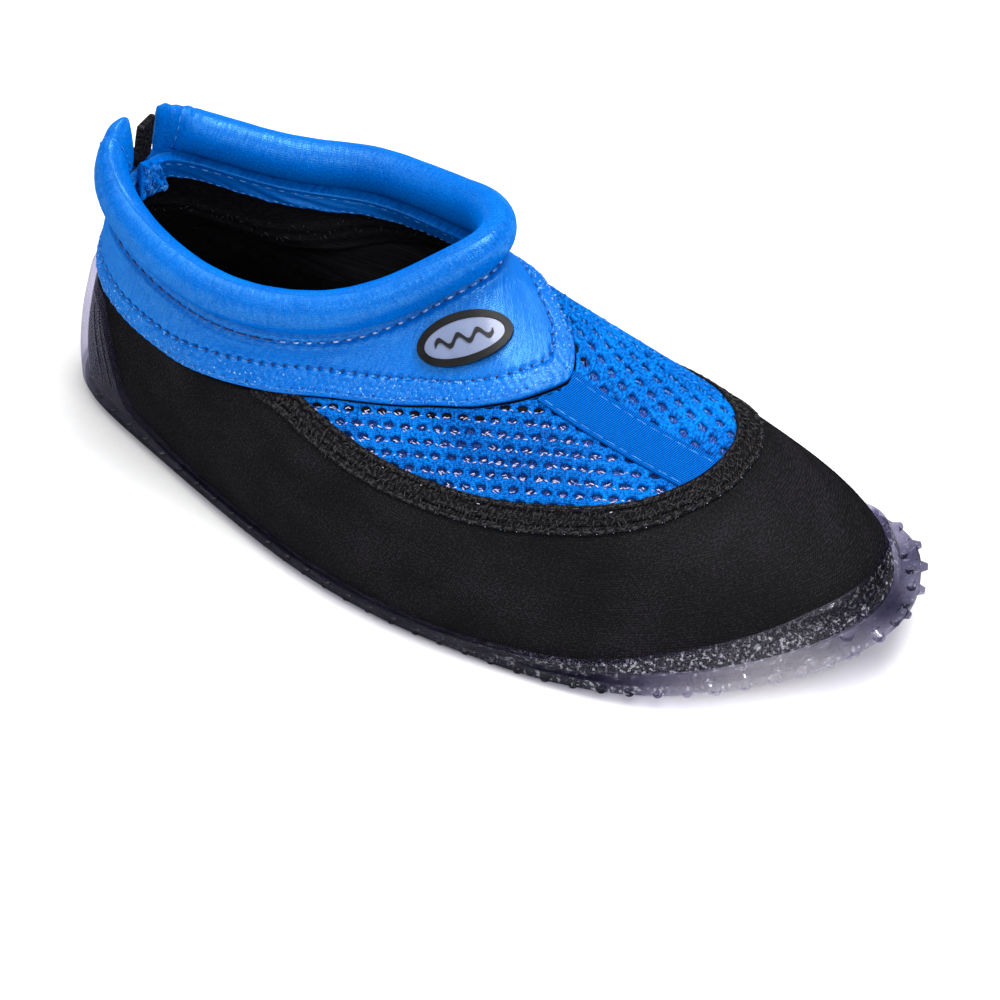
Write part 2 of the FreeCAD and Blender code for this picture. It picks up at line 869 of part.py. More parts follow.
# half-height of the padded collar's section beyond its usual size at the two heel ends
ROLL_EXTRA = ((0.0, 5.0), (0.035, 4.2), (0.07, 1.6), (0.12, 0.0), (0.5, 0.0), (0.88, 0.0),
              (0.93, 0.6), (0.965, 1.6))
# how far the section leans outwards at its top, in degrees
ROLL_LEAN = ((0.0, -6.0), (0.08, 4.0), (0.25, 8.0), (0.5, 16.0), (0.75, 8.0), (0.93, 0.0))


def roll_point(t, angle, shrink):
    """Point on the padded collar's oval section at t, smaller all round by shrink."""
    seat = layer_point(t, 1.0, size("band_stand_off") - 0.5 * size("band_thickness")
                       - 0.5 * size("panel_thickness"))
    ahead = surface(t + 1e-3, 1.0) - surface(t - 1e-3, 1.0)
    ahead.normalize()
    out = outward(ahead.x, ahead.y)
    up = out.cross(ahead)
    if up.z < 0:
        up = up * -1.0
    lean = math.radians(steps(ROLL_LEAN, t))
    tall = up * math.cos(lean) + out * math.sin(lean)
    wide = out * math.cos(lean) - up * math.sin(lean)
    half_high = 0.5 * size("roll_height") + steps(ROLL_EXTRA, t)
    half_wide = 0.5 * size("roll_thickness")
    centre = seat + up * size("roll_lift") + tall * half_high
    return (centre + tall * ((half_high - shrink) * math.cos(angle))
            + wide * ((half_wide - shrink) * math.sin(angle)))


def make_collar():
    """Padded collar: a stretch cover round a foam core, open at the heel notch."""
    count = 60
    round_section = 20
    start = size("roll_end_gap")
    places = [start + (1 - 2 * start) * i / count for i in range(count + 1)]

    def line(shrink):
        def points(share):
            return [roll_point(t, 2 * math.pi * share, shrink) for t in places]
        return points
    cover = size("roll_cover")
    shaped("collar_roll", ring_solid(line(cover), line(0.0), round_section))
    shaped("collar_foam", capped_solid(line(cover + 2 * size("layer_gap")), round_section))


def ribbon_wire(first, second):
    """Closed outline with a smooth curve through each list of points and straight ends."""
    curves = []
    for line in (first, second):
        curve = Part.BSplineCurve()
        curve.interpolate(line)
        curves.append(curve.toShape())
    ends = [Part.makeLine(first[-1], second[-1]), Part.makeLine(second[0], first[0])]
    return Part.Wire(Part.__sortEdges__(curves + ends))


def bent_strip(points, width, thickness):
    """Flat webbing of one thickness that follows points in the heel's middle plane."""
    left = []
    right = []
    to_edge = FreeCAD.Vector(-width / 2, 0, 0)
    for i, point in enumerate(points):
        before = points[max(i - 1, 0)]
        after = points[min(i + 1, len(points) - 1)]
        run = (after - before).normalize()
        side = FreeCAD.Vector(0, -run.z, run.y)
        left.append(point + to_edge + side * (thickness / 2))
        right.append(point + to_edge - side * (thickness / 2))
    return Part.Face(ribbon_wire(left, right)).extrude(FreeCAD.Vector(width, 0, 0))


def make_heel_gusset():
    """Black elastic set in the notch between the two ends of the collar."""
    foot = surface(0.0, 1.0) + FreeCAD.Vector(size("gusset_side"), 0.5 * size("panel_thickness"), 0)
    height = size("gusset_height")
    # the elastic leans forwards as it rises: (forwards, up) as shares of its height
    line = ((0.0, 0.094), (0.053, 0.412), (0.094, 0.735), (0.141, 1.0))
    points = []
    for ahead, up in line:
        points.append(foot + FreeCAD.Vector(0, ahead * height, up * height))
    shaped("heel_gusset", bent_strip(points, size("gusset_width"), size("gusset_thickness")))


# heights on the heel seam, in w, of the loop's sewn end and of its free end
LOOP_ROOT_W = 0.965
LOOP_TIP_W = 0.66


def loop_line(sketch, first, top, radius, expression, top_expression):
    """Closed U of the loop's side view, hanging from top; it starts at geometry number first."""
    depth = size("loop_length") - size("loop_gap") / 2 - size("loop_ply")
    corners = (
        FreeCAD.Vector(-radius, top, 0),
        FreeCAD.Vector(-radius, -depth, 0),
        FreeCAD.Vector(radius, -depth, 0),
        FreeCAD.Vector(radius, top, 0),
    )
    circle = Part.Circle(FreeCAD.Vector(0, -depth, 0), FreeCAD.Vector(0, 0, 1), radius)
    sketch.addGeometry(Part.LineSegment(corners[0], corners[1]), False)
    sketch.addGeometry(Part.ArcOfCircle(circle, math.pi, 2 * math.pi), False)
    sketch.addGeometry(Part.LineSegment(corners[2], corners[3]), False)
    sketch.addGeometry(Part.LineSegment(corners[3], corners[0]), False)
    arc = first + 1
    for k in range(4):
        here = first + k
        ahead = first + (k + 1) % 4
        sketch.addConstraint(Sketcher.Constraint("Coincident", here, LINE_END, ahead, LINE_START))
    sketch.addConstraint(Sketcher.Constraint("Vertical", first))
    sketch.addConstraint(Sketcher.Constraint("Horizontal", first + 3))
    bind(sketch, Sketcher.Constraint("Radius", arc, radius), expression)
    bind(sketch, Sketcher.Constraint("DistanceY", AXES, LINE_START, arc, ARC_CENTRE, -depth),
         "-(dimensions.loop_length - dimensions.loop_gap / 2 - dimensions.loop_ply)")
    if top_expression:
        bind(sketch, Sketcher.Constraint("DistanceY", AXES, LINE_START, first, LINE_START, top),
             top_expression)


def make_heel_loop():
    """Folded webbing pull loop that hangs down the outside of the heel."""
    body = DOC.addObject("PartDesign::Body", "heel_loop")
    sketch = body.newObject("Sketcher::SketchObject", "loop_side_view")
    plane = [f for f in body.Origin.OriginFeatures if f.Role == "YZ_Plane"][0]
    sketch.AttachmentSupport = (plane, "")
    sketch.MapMode = "FlatFace"
    hollow = size("loop_gap") / 2
    # the loop is drawn hanging straight down from its sewn root at (0, 0)
    loop_line(sketch, 0, 0.0, hollow + size("loop_ply"),
              "dimensions.loop_gap / 2 + dimensions.loop_ply", "")
    loop_line(sketch, 4, -size("loop_seam"), hollow, "dimensions.loop_gap / 2",
              "-dimensions.loop_seam")
    pad = body.newObject("PartDesign::Pad", "loop_width")
    pad.Profile = sketch
    pad.Midplane = True
    pad.setExpression("Length", "dimensions.loop_width")
    DOC.recompute()
    body.Label = "heel_loop"
    root, lean = loop_root()
    body.Placement = FreeCAD.Placement(
        root - FreeCAD.Vector(size("origin_x"), size("origin_y"), 0),
        FreeCAD.Rotation(FreeCAD.Vector(1, 0, 0), lean))
    PARTS.append(body)


def loop_root():
    """Sewn end of the pull loop on the heel, and how far it leans off the vertical."""
    place = surface(0.0, LOOP_ROOT_W)
    below = surface(0.0, LOOP_TIP_W)
    out = (size("band_stand_off") + size("loop_ply") + size("loop_gap") / 2
           + size("loop_stand_off"))
    root = place + normal(0.0, LOOP_ROOT_W) * out
    run = place - below
    return root, -math.degrees(math.atan2(run.y, run.z))


# centre of the badge on the band, and the way its long axis and its height run in (t, w)
BADGE_CENTRE = (0.432, 0.881)
BADGE_ALONG = (0.00321, -0.0013)
BADGE_UP = (-0.00093, 0.0058)


def badge_frame():
    t, w = BADGE_CENTRE
    centre = surface(t, w)
    reach = 0.5 * size("badge_length")
    tip = surface(t + reach * BADGE_ALONG[0], w + reach * BADGE_ALONG[1])
    out = normal(t, w)
    along = (tip - centre) - out * (tip - centre).dot(out)
    along.normalize()
    up = out.cross(along)
    if up.z < 0:
        up = up * -1.0
    return centre, along, up, out


def badge_slab(low, high):
    """Piece of an offset layer of the band, a little larger than the badge."""
    spare = 4.0
    reach_along = 0.5 * size("badge_length") + spare
    reach_up = 0.5 * size("badge_height") + spare

    def place(u, v):
        a = (2 * u - 1) * reach_along
        b = (2 * v - 1) * reach_up
        t = BADGE_CENTRE[0] + a * BADGE_ALONG[0] + b * BADGE_UP[0]
        w = BADGE_CENTRE[1] + a * BADGE_ALONG[1] + b * BADGE_UP[1]
        return t, min(w, 1.0)
    return patch_solid(place, low, high, 14, 10)


def badge_column(wire):
    """Column with the wire's outline through the badge, along its middle normal."""
    centre, along, up, out = badge_frame()
    reach = 20.0
    column = Part.Face(wire).extrude(FreeCAD.Vector(0, 0, 2 * reach))
    column.translate(FreeCAD.Vector(0, 0, -reach))
    column.Placement = FreeCAD.Placement(
        centre, FreeCAD.Rotation(along, out.cross(along), out)).multiply(column.Placement)
    return column


def badge_oval(length, height):
    ellipse = Part.Ellipse(FreeCAD.Vector(0, 0, 0), length / 2, height / 2)
    return badge_column(Part.Wire([ellipse.toShape()]))


def emblem_column():
    """Column with the outline of a plain wave crest, for the badge's emblem."""
    margin = 3.4
    half = 0.5 * size("badge_length") - size("badge_rim") - margin
    amplitude = 1.3
    width = 1.5
    crests = 3
    count = 30
    top = []
    bottom = []
    for i in range(count + 1):
        x = -half + 2 * half * i / count
        y = amplitude * math.sin(crests * 2 * math.pi * i / count)
        top.append(FreeCAD.Vector(x, y + width / 2, 0))
        bottom.append(FreeCAD.Vector(x, y - width / 2, 0))
    return badge_column(ribbon_wire(top, bottom))


def make_badge():
    """Oval badge: rubber base with a raised rim, a plate in it and a plain wave emblem."""
    gap = size("layer_gap")
    bottom = size("band_stand_off") + gap
    floor = bottom + size("badge_floor")
    top = bottom + size("badge_thickness")
    length = size("badge_length")
    height = size("badge_height")
    rim = size("badge_rim")
    clearance = 0.02
    base = badge_slab(bottom, top).common(badge_oval(length, height))
    recess = badge_slab(floor, top + rim).common(badge_oval(length - 2 * rim, height - 2 * rim))
    shaped("badge_base", base.cut(recess))
    ease = 2 * (rim + gap)
    plate_low = floor + clearance
    plate_top = plate_low + size("plate_thickness")
    shaped("badge_plate", badge_slab(plate_low, plate_top).common(
        badge_oval(length - ease, height - ease)))
    emblem_low = plate_top + clearance
    shaped("badge_emblem", badge_slab(emblem_low, emblem_low + size("emblem_thickness")).common(
        emblem_column()))


def check_all():
    """Stop with the names of any object that failed or any sub-part that isn't sound."""
    faults = []
    for item in DOC.Objects:
        for state in item.State:
            if state in ("Invalid", "Error"):
                faults.append("%s is %s" % (item.Name, state))
    for item in PARTS:
        shape = item.Shape
        if shape.isNull() or not shape.isValid():
            faults.append("%s has no valid shape" % item.Label)
        elif shape.Volume <= 0:
            faults.append("%s has no volume" % item.Label)
    if faults:
        raise RuntimeError("; ".join(faults))


def write_parts():
    os.makedirs("parts", exist_ok=True)
    box = FreeCAD.BoundBox()
    for item in PARTS:
        item.Shape.exportStep("parts/%s.step" % item.Label)
        bound = item.Shape.BoundBox
        box.add(bound)
        print("%-15s %2d solids %9.1f mm3  z %.2f..%.2f" % (
            item.Label, len(item.Shape.Solids), item.Shape.Volume, bound.ZMin, bound.ZMax))
    print("box x %.2f..%.2f y %.2f..%.2f z %.2f..%.2f" % (
        box.XMin, box.XMax, box.YMin, box.YMax, box.ZMin, box.ZMax))


make_outsole()
make_insole_layers()
make_side_panel()
lining_inside = make_ankle_layers()
make_vamp()
make_centre_strip()
make_vamp_tape()
make_heel_tape()
make_facing(lining_inside)
make_collar()
make_heel_gusset()
make_heel_loop()
make_badge()
DOC.recompute()
check_all()
write_parts()
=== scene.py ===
import math
import bpy
import numpy as np
from mathutils import Matrix, Vector


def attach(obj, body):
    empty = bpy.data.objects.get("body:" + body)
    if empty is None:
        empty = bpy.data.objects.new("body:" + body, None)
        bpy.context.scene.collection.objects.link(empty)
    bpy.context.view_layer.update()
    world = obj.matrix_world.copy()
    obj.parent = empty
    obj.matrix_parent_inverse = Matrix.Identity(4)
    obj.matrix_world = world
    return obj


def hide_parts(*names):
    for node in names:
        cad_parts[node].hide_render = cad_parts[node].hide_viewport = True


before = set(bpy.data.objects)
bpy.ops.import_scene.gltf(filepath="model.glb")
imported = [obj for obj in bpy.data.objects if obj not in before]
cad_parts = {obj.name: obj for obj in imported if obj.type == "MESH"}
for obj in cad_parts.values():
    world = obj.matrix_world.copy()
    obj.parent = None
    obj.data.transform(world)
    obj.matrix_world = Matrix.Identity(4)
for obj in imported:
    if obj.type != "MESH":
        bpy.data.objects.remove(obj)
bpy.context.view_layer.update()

# ---- the last
# Lengths are in millimetres in the last's own frame until a mesh is made; the
# same (t, w) places as in the CAD source name points of the upper.

ORIGIN = np.array([8.6, 141.4, 0.0])
FLOOR_Z = 6.0
SPRING_START = 180.0
SPRING_RADIUS = 312.0
GAP = 0.12

# round the shoe from the heel over the outer side: the sole edge's x and y, the collar seam's
# x, y and z, then the length and the angle that a curve leaves the one and reaches the other with
LAST_ROWS = (
    (0, 3, 0, 18, 81, 28, 2, 24, 12),
    (20, 10, 12, 18, 80, 28, 3, 24, 11),
    (33, 38, 24, 28, 75, 26, 6, 20, 12),
    (49, 84, 33, 54, 70, 22, 2, 22, 16),
    (59, 126, 32, 78, 67, 20, 0, 26, 22),
    (60, 168, 24, 101, 69, 22, 0, 34, 32),
    (51, 214, 13, 117, 75, 24, 0, 41, 42),
    (30, 251, 2, 128, 82, 30, 0, 44, 50),
    (0, 272, -10, 134, 86, 30, 0, 46, 42),
    (-30, 260, -21, 128, 83, 33, 0, 36, 33),
    (-41, 228, -29, 117, 77, 21, 0, 36, 30),
    (-40, 188, -35, 101, 72, 22, 0, 28, 30),
    (-34, 146, -36, 78, 70, 22, 0, 22, 21),
    (-28, 102, -27, 54, 71, 24, 2, 20, 12),
    (-28, 58, -18, 30, 76, 26, 4, 22, 14),
    (-22, 16, -9, 20, 80, 28, 1, 24, 13),
)
BAND_EDGE = ((0.0, 0.62), (0.06, 0.60), (0.125, 0.565), (0.17, 0.62), (0.21, 0.70),
             (0.25, 0.755), (0.31, 0.80), (0.37, 0.78), (0.414, 0.745), (0.445, 0.733),
             (0.475, 0.733), (0.497, 0.765), (0.515, 0.81), (0.545, 0.83), (0.60, 0.82),
             (0.66, 0.80), (0.72, 0.78), (0.77, 0.73), (0.82, 0.64), (0.87, 0.57), (0.94, 0.60))
VAMP_EDGE = ((0.262, 0.765), (0.285, 0.684), (0.312, 0.600), (0.345, 0.548), (0.371, 0.518),
             (0.396, 0.493), (0.420, 0.468), (0.443, 0.457), (0.470, 0.461), (0.498, 0.463),
             (0.524, 0.453), (0.545, 0.449), (0.570, 0.462), (0.600, 0.497), (0.630, 0.550),
             (0.655, 0.612), (0.677, 0.690), (0.698, 0.775))
CUP_TOP = 0.50
ROLL_EXTRA = ((0.0, 5.4), (0.035, 4.8), (0.07, 2.8), (0.12, 0.5), (0.17, 0.0), (0.5, 0.0), (0.88, 0.0),
              (0.93, 0.6), (0.965, 1.6))
ROLL_LEAN = ((0.0, -6.0), (0.08, 4.0), (0.25, 8.0), (0.5, 16.0), (0.75, 8.0), (0.93, 0.0))
STRIP_TOP = (0.467, 0.733)
STRIP_FOOT = (0.485, 0.462)
VAMP_START = VAMP_EDGE[0][0]
VAMP_END = VAMP_EDGE[-1][0]
HEEL_SLIT = 0.003
PANEL_THICK = 2.5
BAND_INNER, BAND_OUTER = -0.9, 1.5
LINING_OUTER = BAND_INNER - GAP
LINING_INNER = LINING_OUTER - 2.5
VAMP_LINING_INNER, VAMP_LINING_OUTER = -3.22, -1.72
WEBBING = 0.85
TAPE_HALF = 4.3
UP = np.array([0.0, 0.0, 1.0])

RANDOM = np.random.default_rng(11)


def through(values):
    """Control values of the closed uniform cubic B-spline through the values."""
    control = values.copy()
    for _ in range(60):
        control = 1.5 * values - 0.25 * (np.roll(control, 1, 0) + np.roll(control, -1, 0))
    return control


LAST = through(np.array(LAST_ROWS, float))


def around(t):
    """Every column of the last at t, and its slope."""
    place = (np.asarray(t, float) % 1.0) * len(LAST)
    first = np.floor(place).astype(int)
    u = place - first
    weights = ((1 - u) ** 3 / 6, (3 * u ** 3 - 6 * u ** 2 + 4) / 6,
               (-3 * u ** 3 + 3 * u ** 2 + 3 * u + 1) / 6, u ** 3 / 6)
    slopes = (-(1 - u) ** 2 / 2, (3 * u ** 2 - 4 * u) / 2, (-3 * u ** 2 + 2 * u + 1) / 2, u ** 2 / 2)
    value = 0.0
    slope = 0.0
    for k in range(4):
        near = LAST[(first + k - 1) % len(LAST)]
        value = value + weights[k][..., None] * near
        slope = slope + slopes[k][..., None] * near
    return value, slope


def steps(knots, t):
    """Smooth value at t through given knots (t, value), with no overshoot."""
    at, value = np.array(knots, float).T
    at = np.concatenate([at[-2:] - 1, at, at[:2] + 1])
    value = np.concatenate([value[-2:], value, value[:2]])
    step = np.diff(value) / np.diff(at)
    before, after = step[:-1], step[1:]
    with np.errstate(divide="ignore", invalid="ignore"):
        slope = np.where(before * after > 0, 2 * before * after / (before + after), 0.0)
    slope = np.concatenate([[0.0], slope, [0.0]])
    t = np.asarray(t, float) % 1.0
    i = np.clip(np.searchsorted(at, t) - 1, 1, len(at) - 3)
    span = at[i + 1] - at[i]
    u = (t - at[i]) / span
    return ((2 * u ** 3 - 3 * u ** 2 + 1) * value[i] + (u ** 3 - 2 * u ** 2 + u) * span * slope[i]
            + (3 * u ** 2 - 2 * u ** 3) * value[i + 1] + (u ** 3 - u ** 2) * span * slope[i + 1])


def unit(v):
    return v / np.maximum(np.linalg.norm(v, axis=-1, keepdims=True), 1e-12)


def dot(a, b):
    return (a * b).sum(-1)


def flat_outward(slope):
    flat = np.stack([slope[..., 1], -slope[..., 0], 0 * slope[..., 0]], -1)
    return unit(flat)


def spring(y):
    ahead = np.clip(y - SPRING_START, 0.0, SPRING_RADIUS * 0.99)
    return SPRING_RADIUS - np.sqrt(SPRING_RADIUS ** 2 - ahead ** 2)


def surface(t, w):
    """Points of the upper: w goes up a curve from the sole's edge to the collar seam."""
    t, w = np.broadcast_arrays(np.asarray(t, float), np.asarray(w, float))
    value, slope = around(t)
    start = np.stack([value[..., 0], value[..., 1], FLOOR_Z + spring(value[..., 1])], -1)
    end = value[..., 2:5]
    low = flat_outward(slope[..., 0:2])
    high = flat_outward(slope[..., 2:4])
    rise_angle = np.radians(value[..., 6])[..., None]
    fall_angle = np.radians(value[..., 8])[..., None]
    leave = start + (low * np.sin(rise_angle) + UP * np.cos(rise_angle)) * value[..., 5, None]
    arrive = end + (high * np.sin(fall_angle) - UP * np.cos(fall_angle)) * value[..., 7, None]
    w = w[..., None]
    v = 1 - w
    return start * v ** 3 + leave * 3 * v * v * w + arrive * 3 * v * w * w + end * w ** 3


def slopes_of(t, w, step=1e-3):
    along = (surface(t + step, w) - surface(t - step, w)) / (2 * step)
    high = np.minimum(w + step, 1.0)
    low = np.maximum(w - step, 0.0)
    rise = (surface(t, high) - surface(t, low)) / np.maximum(high - low, 1e-9)[..., None]
    return along, rise


def normal(t, w):
    t, w = np.broadcast_arrays(np.asarray(t, float), np.asarray(w, float))
    along, rise = slopes_of(t, w)
    return unit(np.cross(along, rise))


def layer(t, w, offset):
    """Points at an offset off the last."""
    return surface(t, w) + normal(t, w) * np.asarray(offset, float)[..., None]


def shifted(t, w, move):
    """The (t, w) reached from (t, w) by a small move in millimetres along the surface."""
    along, rise = slopes_of(t, w)
    a, b, c = dot(along, along), dot(along, rise), dot(rise, rise)
    p, q = dot(along, move), dot(rise, move)
    det = a * c - b * b
    return t + (p * c - q * b) / det, w + (q * a - p * b) / det


def band_edge(t):
    return steps(BAND_EDGE, t)


def vamp_edge(t):
    return steps(VAMP_EDGE, t)


def panel_top(t):
    inside = (t > VAMP_START) & (t < VAMP_END)
    return np.where(inside, np.minimum(vamp_edge(np.clip(t, VAMP_START, VAMP_END)), band_edge(t)),
                    band_edge(t))


def strip_middle(w):
    share = (w - STRIP_TOP[1]) / (STRIP_FOOT[1] - STRIP_TOP[1])
    return STRIP_TOP[0] + share * (STRIP_FOOT[0] - STRIP_TOP[0])


def around_heel(u):
    return HEEL_SLIT + u * (1 - 2 * HEEL_SLIT)


def bell(x, centre, width):
    return np.exp(-((x - centre) / width) ** 2)


def ease(x, low, high):
    u = np.clip((x - low) / (high - low), 0.0, 1.0)
    return u * u * (3 - 2 * u)


def ripple(x, y, size, seed):
    """Smooth uneven waves of about the given size, between -1 and 1."""
    total = 0.0
    for k in range(5):
        angle = seed * 1.7 + k * 2.4
        scale = 2 * math.pi / size * (0.7 + 0.17 * k)
        total = total + np.sin((x * math.cos(angle) + y * math.sin(angle)) * scale + seed * 3.1 + k)
    return total / 5


# ---- materials


class Shade:
    """A procedural material and short calls to add and join its nodes."""

    def __init__(self, name):
        self.material = bpy.data.materials.new(name)
        self.material.use_nodes = True
        self.tree = self.material.node_tree
        self.tree.nodes.clear()

    def node(self, kind, settings=None, **inputs):
        made = self.tree.nodes.new("ShaderNode" + kind)
        for key, value in (settings or {}).items():
            setattr(made, key, value)
        for key, value in inputs.items():
            self.put(made, key.replace("_", " "), value)
        return made

    def put(self, made, key, value):
        socket = made.inputs[int(key[1:])] if key[0] == "i" and key[1:].isdigit() else made.inputs[key]
        if isinstance(value, bpy.types.NodeSocket):
            self.tree.links.new(value, socket)
        elif isinstance(value, bpy.types.Node):
            self.tree.links.new(value.outputs[0], socket)
        else:
            socket.default_value = value

    def math(self, operation, first, second=0.5, third=0.5):
        return self.node("Math", {"operation": operation}, i0=first, i1=second, i2=third)

    def ramp(self, fac, *stops):
        made = self.node("ValToRGB", None, Fac=fac)
        elements = made.color_ramp.elements
        while len(elements) < len(stops):
            elements.new(0.5)
        for element, (place, colour) in zip(elements, stops):
            element.position = place
            element.color = (*colour, 1.0)
        return made

    def noise(self, where, scale, detail, rough=0.5):
        made = self.node("TexNoise", None, Vector=where, Scale=scale, Detail=detail, Roughness=rough)
        return made.outputs["Fac"]

    def wave(self, where, scale, direction="X", twist=0.0):
        made = self.node("TexWave", {"bands_direction": direction}, Vector=where, Scale=scale,
                         Distortion=twist, Detail=1.0)
        return made.outputs["Fac"]

    def bump(self, height, distance):
        return self.node("Bump", None, Height=height, Distance=distance, Strength=1.0)

    def mapped(self, value, low, high, to_low=0.0, to_high=1.0):
        return self.node("MapRange", None, Value=value, i1=low, i2=high, i3=to_low, i4=to_high)

    def finish(self, shader):
        out = self.node("OutputMaterial")
        self.tree.links.new(shader.outputs[0], out.inputs["Surface"])
        return self.material


def rgb(red, green, blue):
    """Linear colour for 0..255 values as seen."""
    return tuple((c / 255) ** 2.2 for c in (red, green, blue))


WHITE = (1.0, 1.0, 1.0)


def cloth_finish(s, colour, height, depth, rough, gloss, gloss_tint):
    """Matt cloth with a little tinted shine that does not whiten at a grazing look."""
    relief = s.bump(height, depth * 0.001)
    matt = s.node("BsdfDiffuse", None, Color=colour, Roughness=0.6, Normal=relief)
    shine = s.node("BsdfAnisotropic", None, Color=(*gloss_tint, 1.0), Roughness=rough, Normal=relief)
    return s.finish(s.node("MixShader", None, i0=gloss, i1=matt.outputs[0], i2=shine.outputs[0]))


def knit(name, dark, mid, light, pitch, grain, depth, rough, contrast, gloss=0.02,
         gloss_tint=WHITE, streak=0.0, dull=0.0):
    """Jersey-faced neoprene: fine wales, fuzz, streaks across the cloth and faint broad tones."""
    s = Shade(name)
    uv = s.node("UVMap", {"uv_map": "cloth"})
    wale = s.wave(uv, 1.0 / pitch / 3.18, "X", 1.5)
    course = s.wave(uv, 1.0 / pitch / 3.6, "Y", 1.5)
    fuzz = s.noise(uv, 1.0 / grain, 2.0, 0.6)
    drawn = s.node("Mapping", None, Vector=uv)
    s.put(drawn, "Scale", (1.3, 0.22, 1.0))
    streaks = s.noise(drawn, 1.0, 2.0, 0.6)
    broad = s.noise(uv, 0.035, 3.0, 0.6)
    weave = s.math("MULTIPLY", wale, course)
    level = s.math("ADD", s.math("MULTIPLY", fuzz, 0.75), s.math("MULTIPLY", weave, 0.16))
    level = s.math("MULTIPLY_ADD", s.math("SUBTRACT", streaks, 0.5), streak, level)
    level = s.math("MULTIPLY_ADD", s.math("SUBTRACT", broad, 0.5), 0.35, level)
    colour = s.ramp(level, (0.42 - contrast, dark), (0.42, mid), (0.42 + contrast, light))
    height = s.math("ADD", s.math("MULTIPLY", weave, 0.5), s.math("MULTIPLY", fuzz, 0.9))
    if dull:
        # the shine comes and goes in fine streaks
        gloss = s.mapped(streaks, 0.35, 0.65, gloss * (1 - dull), gloss * (1 + dull))
    return cloth_finish(s, colour, height, depth, rough, gloss, gloss_tint)


def ribbed(name, dark, mid, light, rib, cross, depth, rough, gloss, fuzz_share, fuzz_scale=1.6,
           tint=WHITE):
    """Woven tape: even ribs along its length and finer ones across."""
    s = Shade(name)
    uv = s.node("UVMap", {"uv_map": "cloth"})
    ribs = s.wave(uv, 1.0 / rib / 3.18, "X", 0.3)
    picks = s.wave(uv, 1.0 / cross / 3.18, "Y", 0.3)
    fuzz = s.noise(uv, fuzz_scale, 3.0, 0.65)
    level = s.math("ADD", s.math("MULTIPLY", ribs, 1.0 - fuzz_share),
                   s.math("MULTIPLY", fuzz, fuzz_share))
    colour = s.ramp(level, (0.3, dark), (0.5, mid), (0.7, light))
    height = s.math("ADD", ribs, s.math("MULTIPLY", picks, 0.5))
    height = s.math("ADD", height, s.math("MULTIPLY", fuzz, 1.2))
    return cloth_finish(s, colour, height, depth, rough, gloss, tint)


def thread(name, colour, bright, rough=0.4):
    """Twisted sewing thread with lighter and darker places along it."""
    s = Shade(name)
    where = s.node("TexCoord").outputs["Object"]
    patches = s.noise(where, 900.0, 2.0, 0.6)
    tint = s.ramp(patches, (0.35, colour), (0.62, bright))
    twist = s.wave(where, 2600.0, "DIAGONAL", 0.4)
    body = s.node("BsdfPrincipled", None, Base_Color=tint, Roughness=rough,
                  Normal=s.bump(twist, 0.00008))
    return s.finish(body)


def moulded(name, colour, rough, coat=0.0, speck=0.12, depth=0.03, shine=0.5):
    """Moulded rubber or plastic with a faint uneven skin."""
    s = Shade(name)
    where = s.node("TexCoord").outputs["Object"]
    skin = s.noise(where, 1400.0, 3.0, 0.6)
    tone = s.noise(where, 160.0, 2.0, 0.5)
    dark = tuple(c * (1 - speck) for c in colour)
    light = tuple(min(1.0, c * (1 + speck) + 0.004) for c in colour)
    tint = s.ramp(tone, (0.35, dark), (0.65, light))
    gloss = s.mapped(skin, 0.0, 1.0, rough * 0.8, min(1.0, rough * 1.25))
    body = s.node("BsdfPrincipled", None, Base_Color=tint, Roughness=gloss,
                  Normal=s.bump(skin, depth * 0.001))
    s.put(body, "Specular IOR Level", shine)
    s.put(body, "Coat Weight", coat)
    s.put(body, "Coat Roughness", 0.08)
    return s.finish(body)


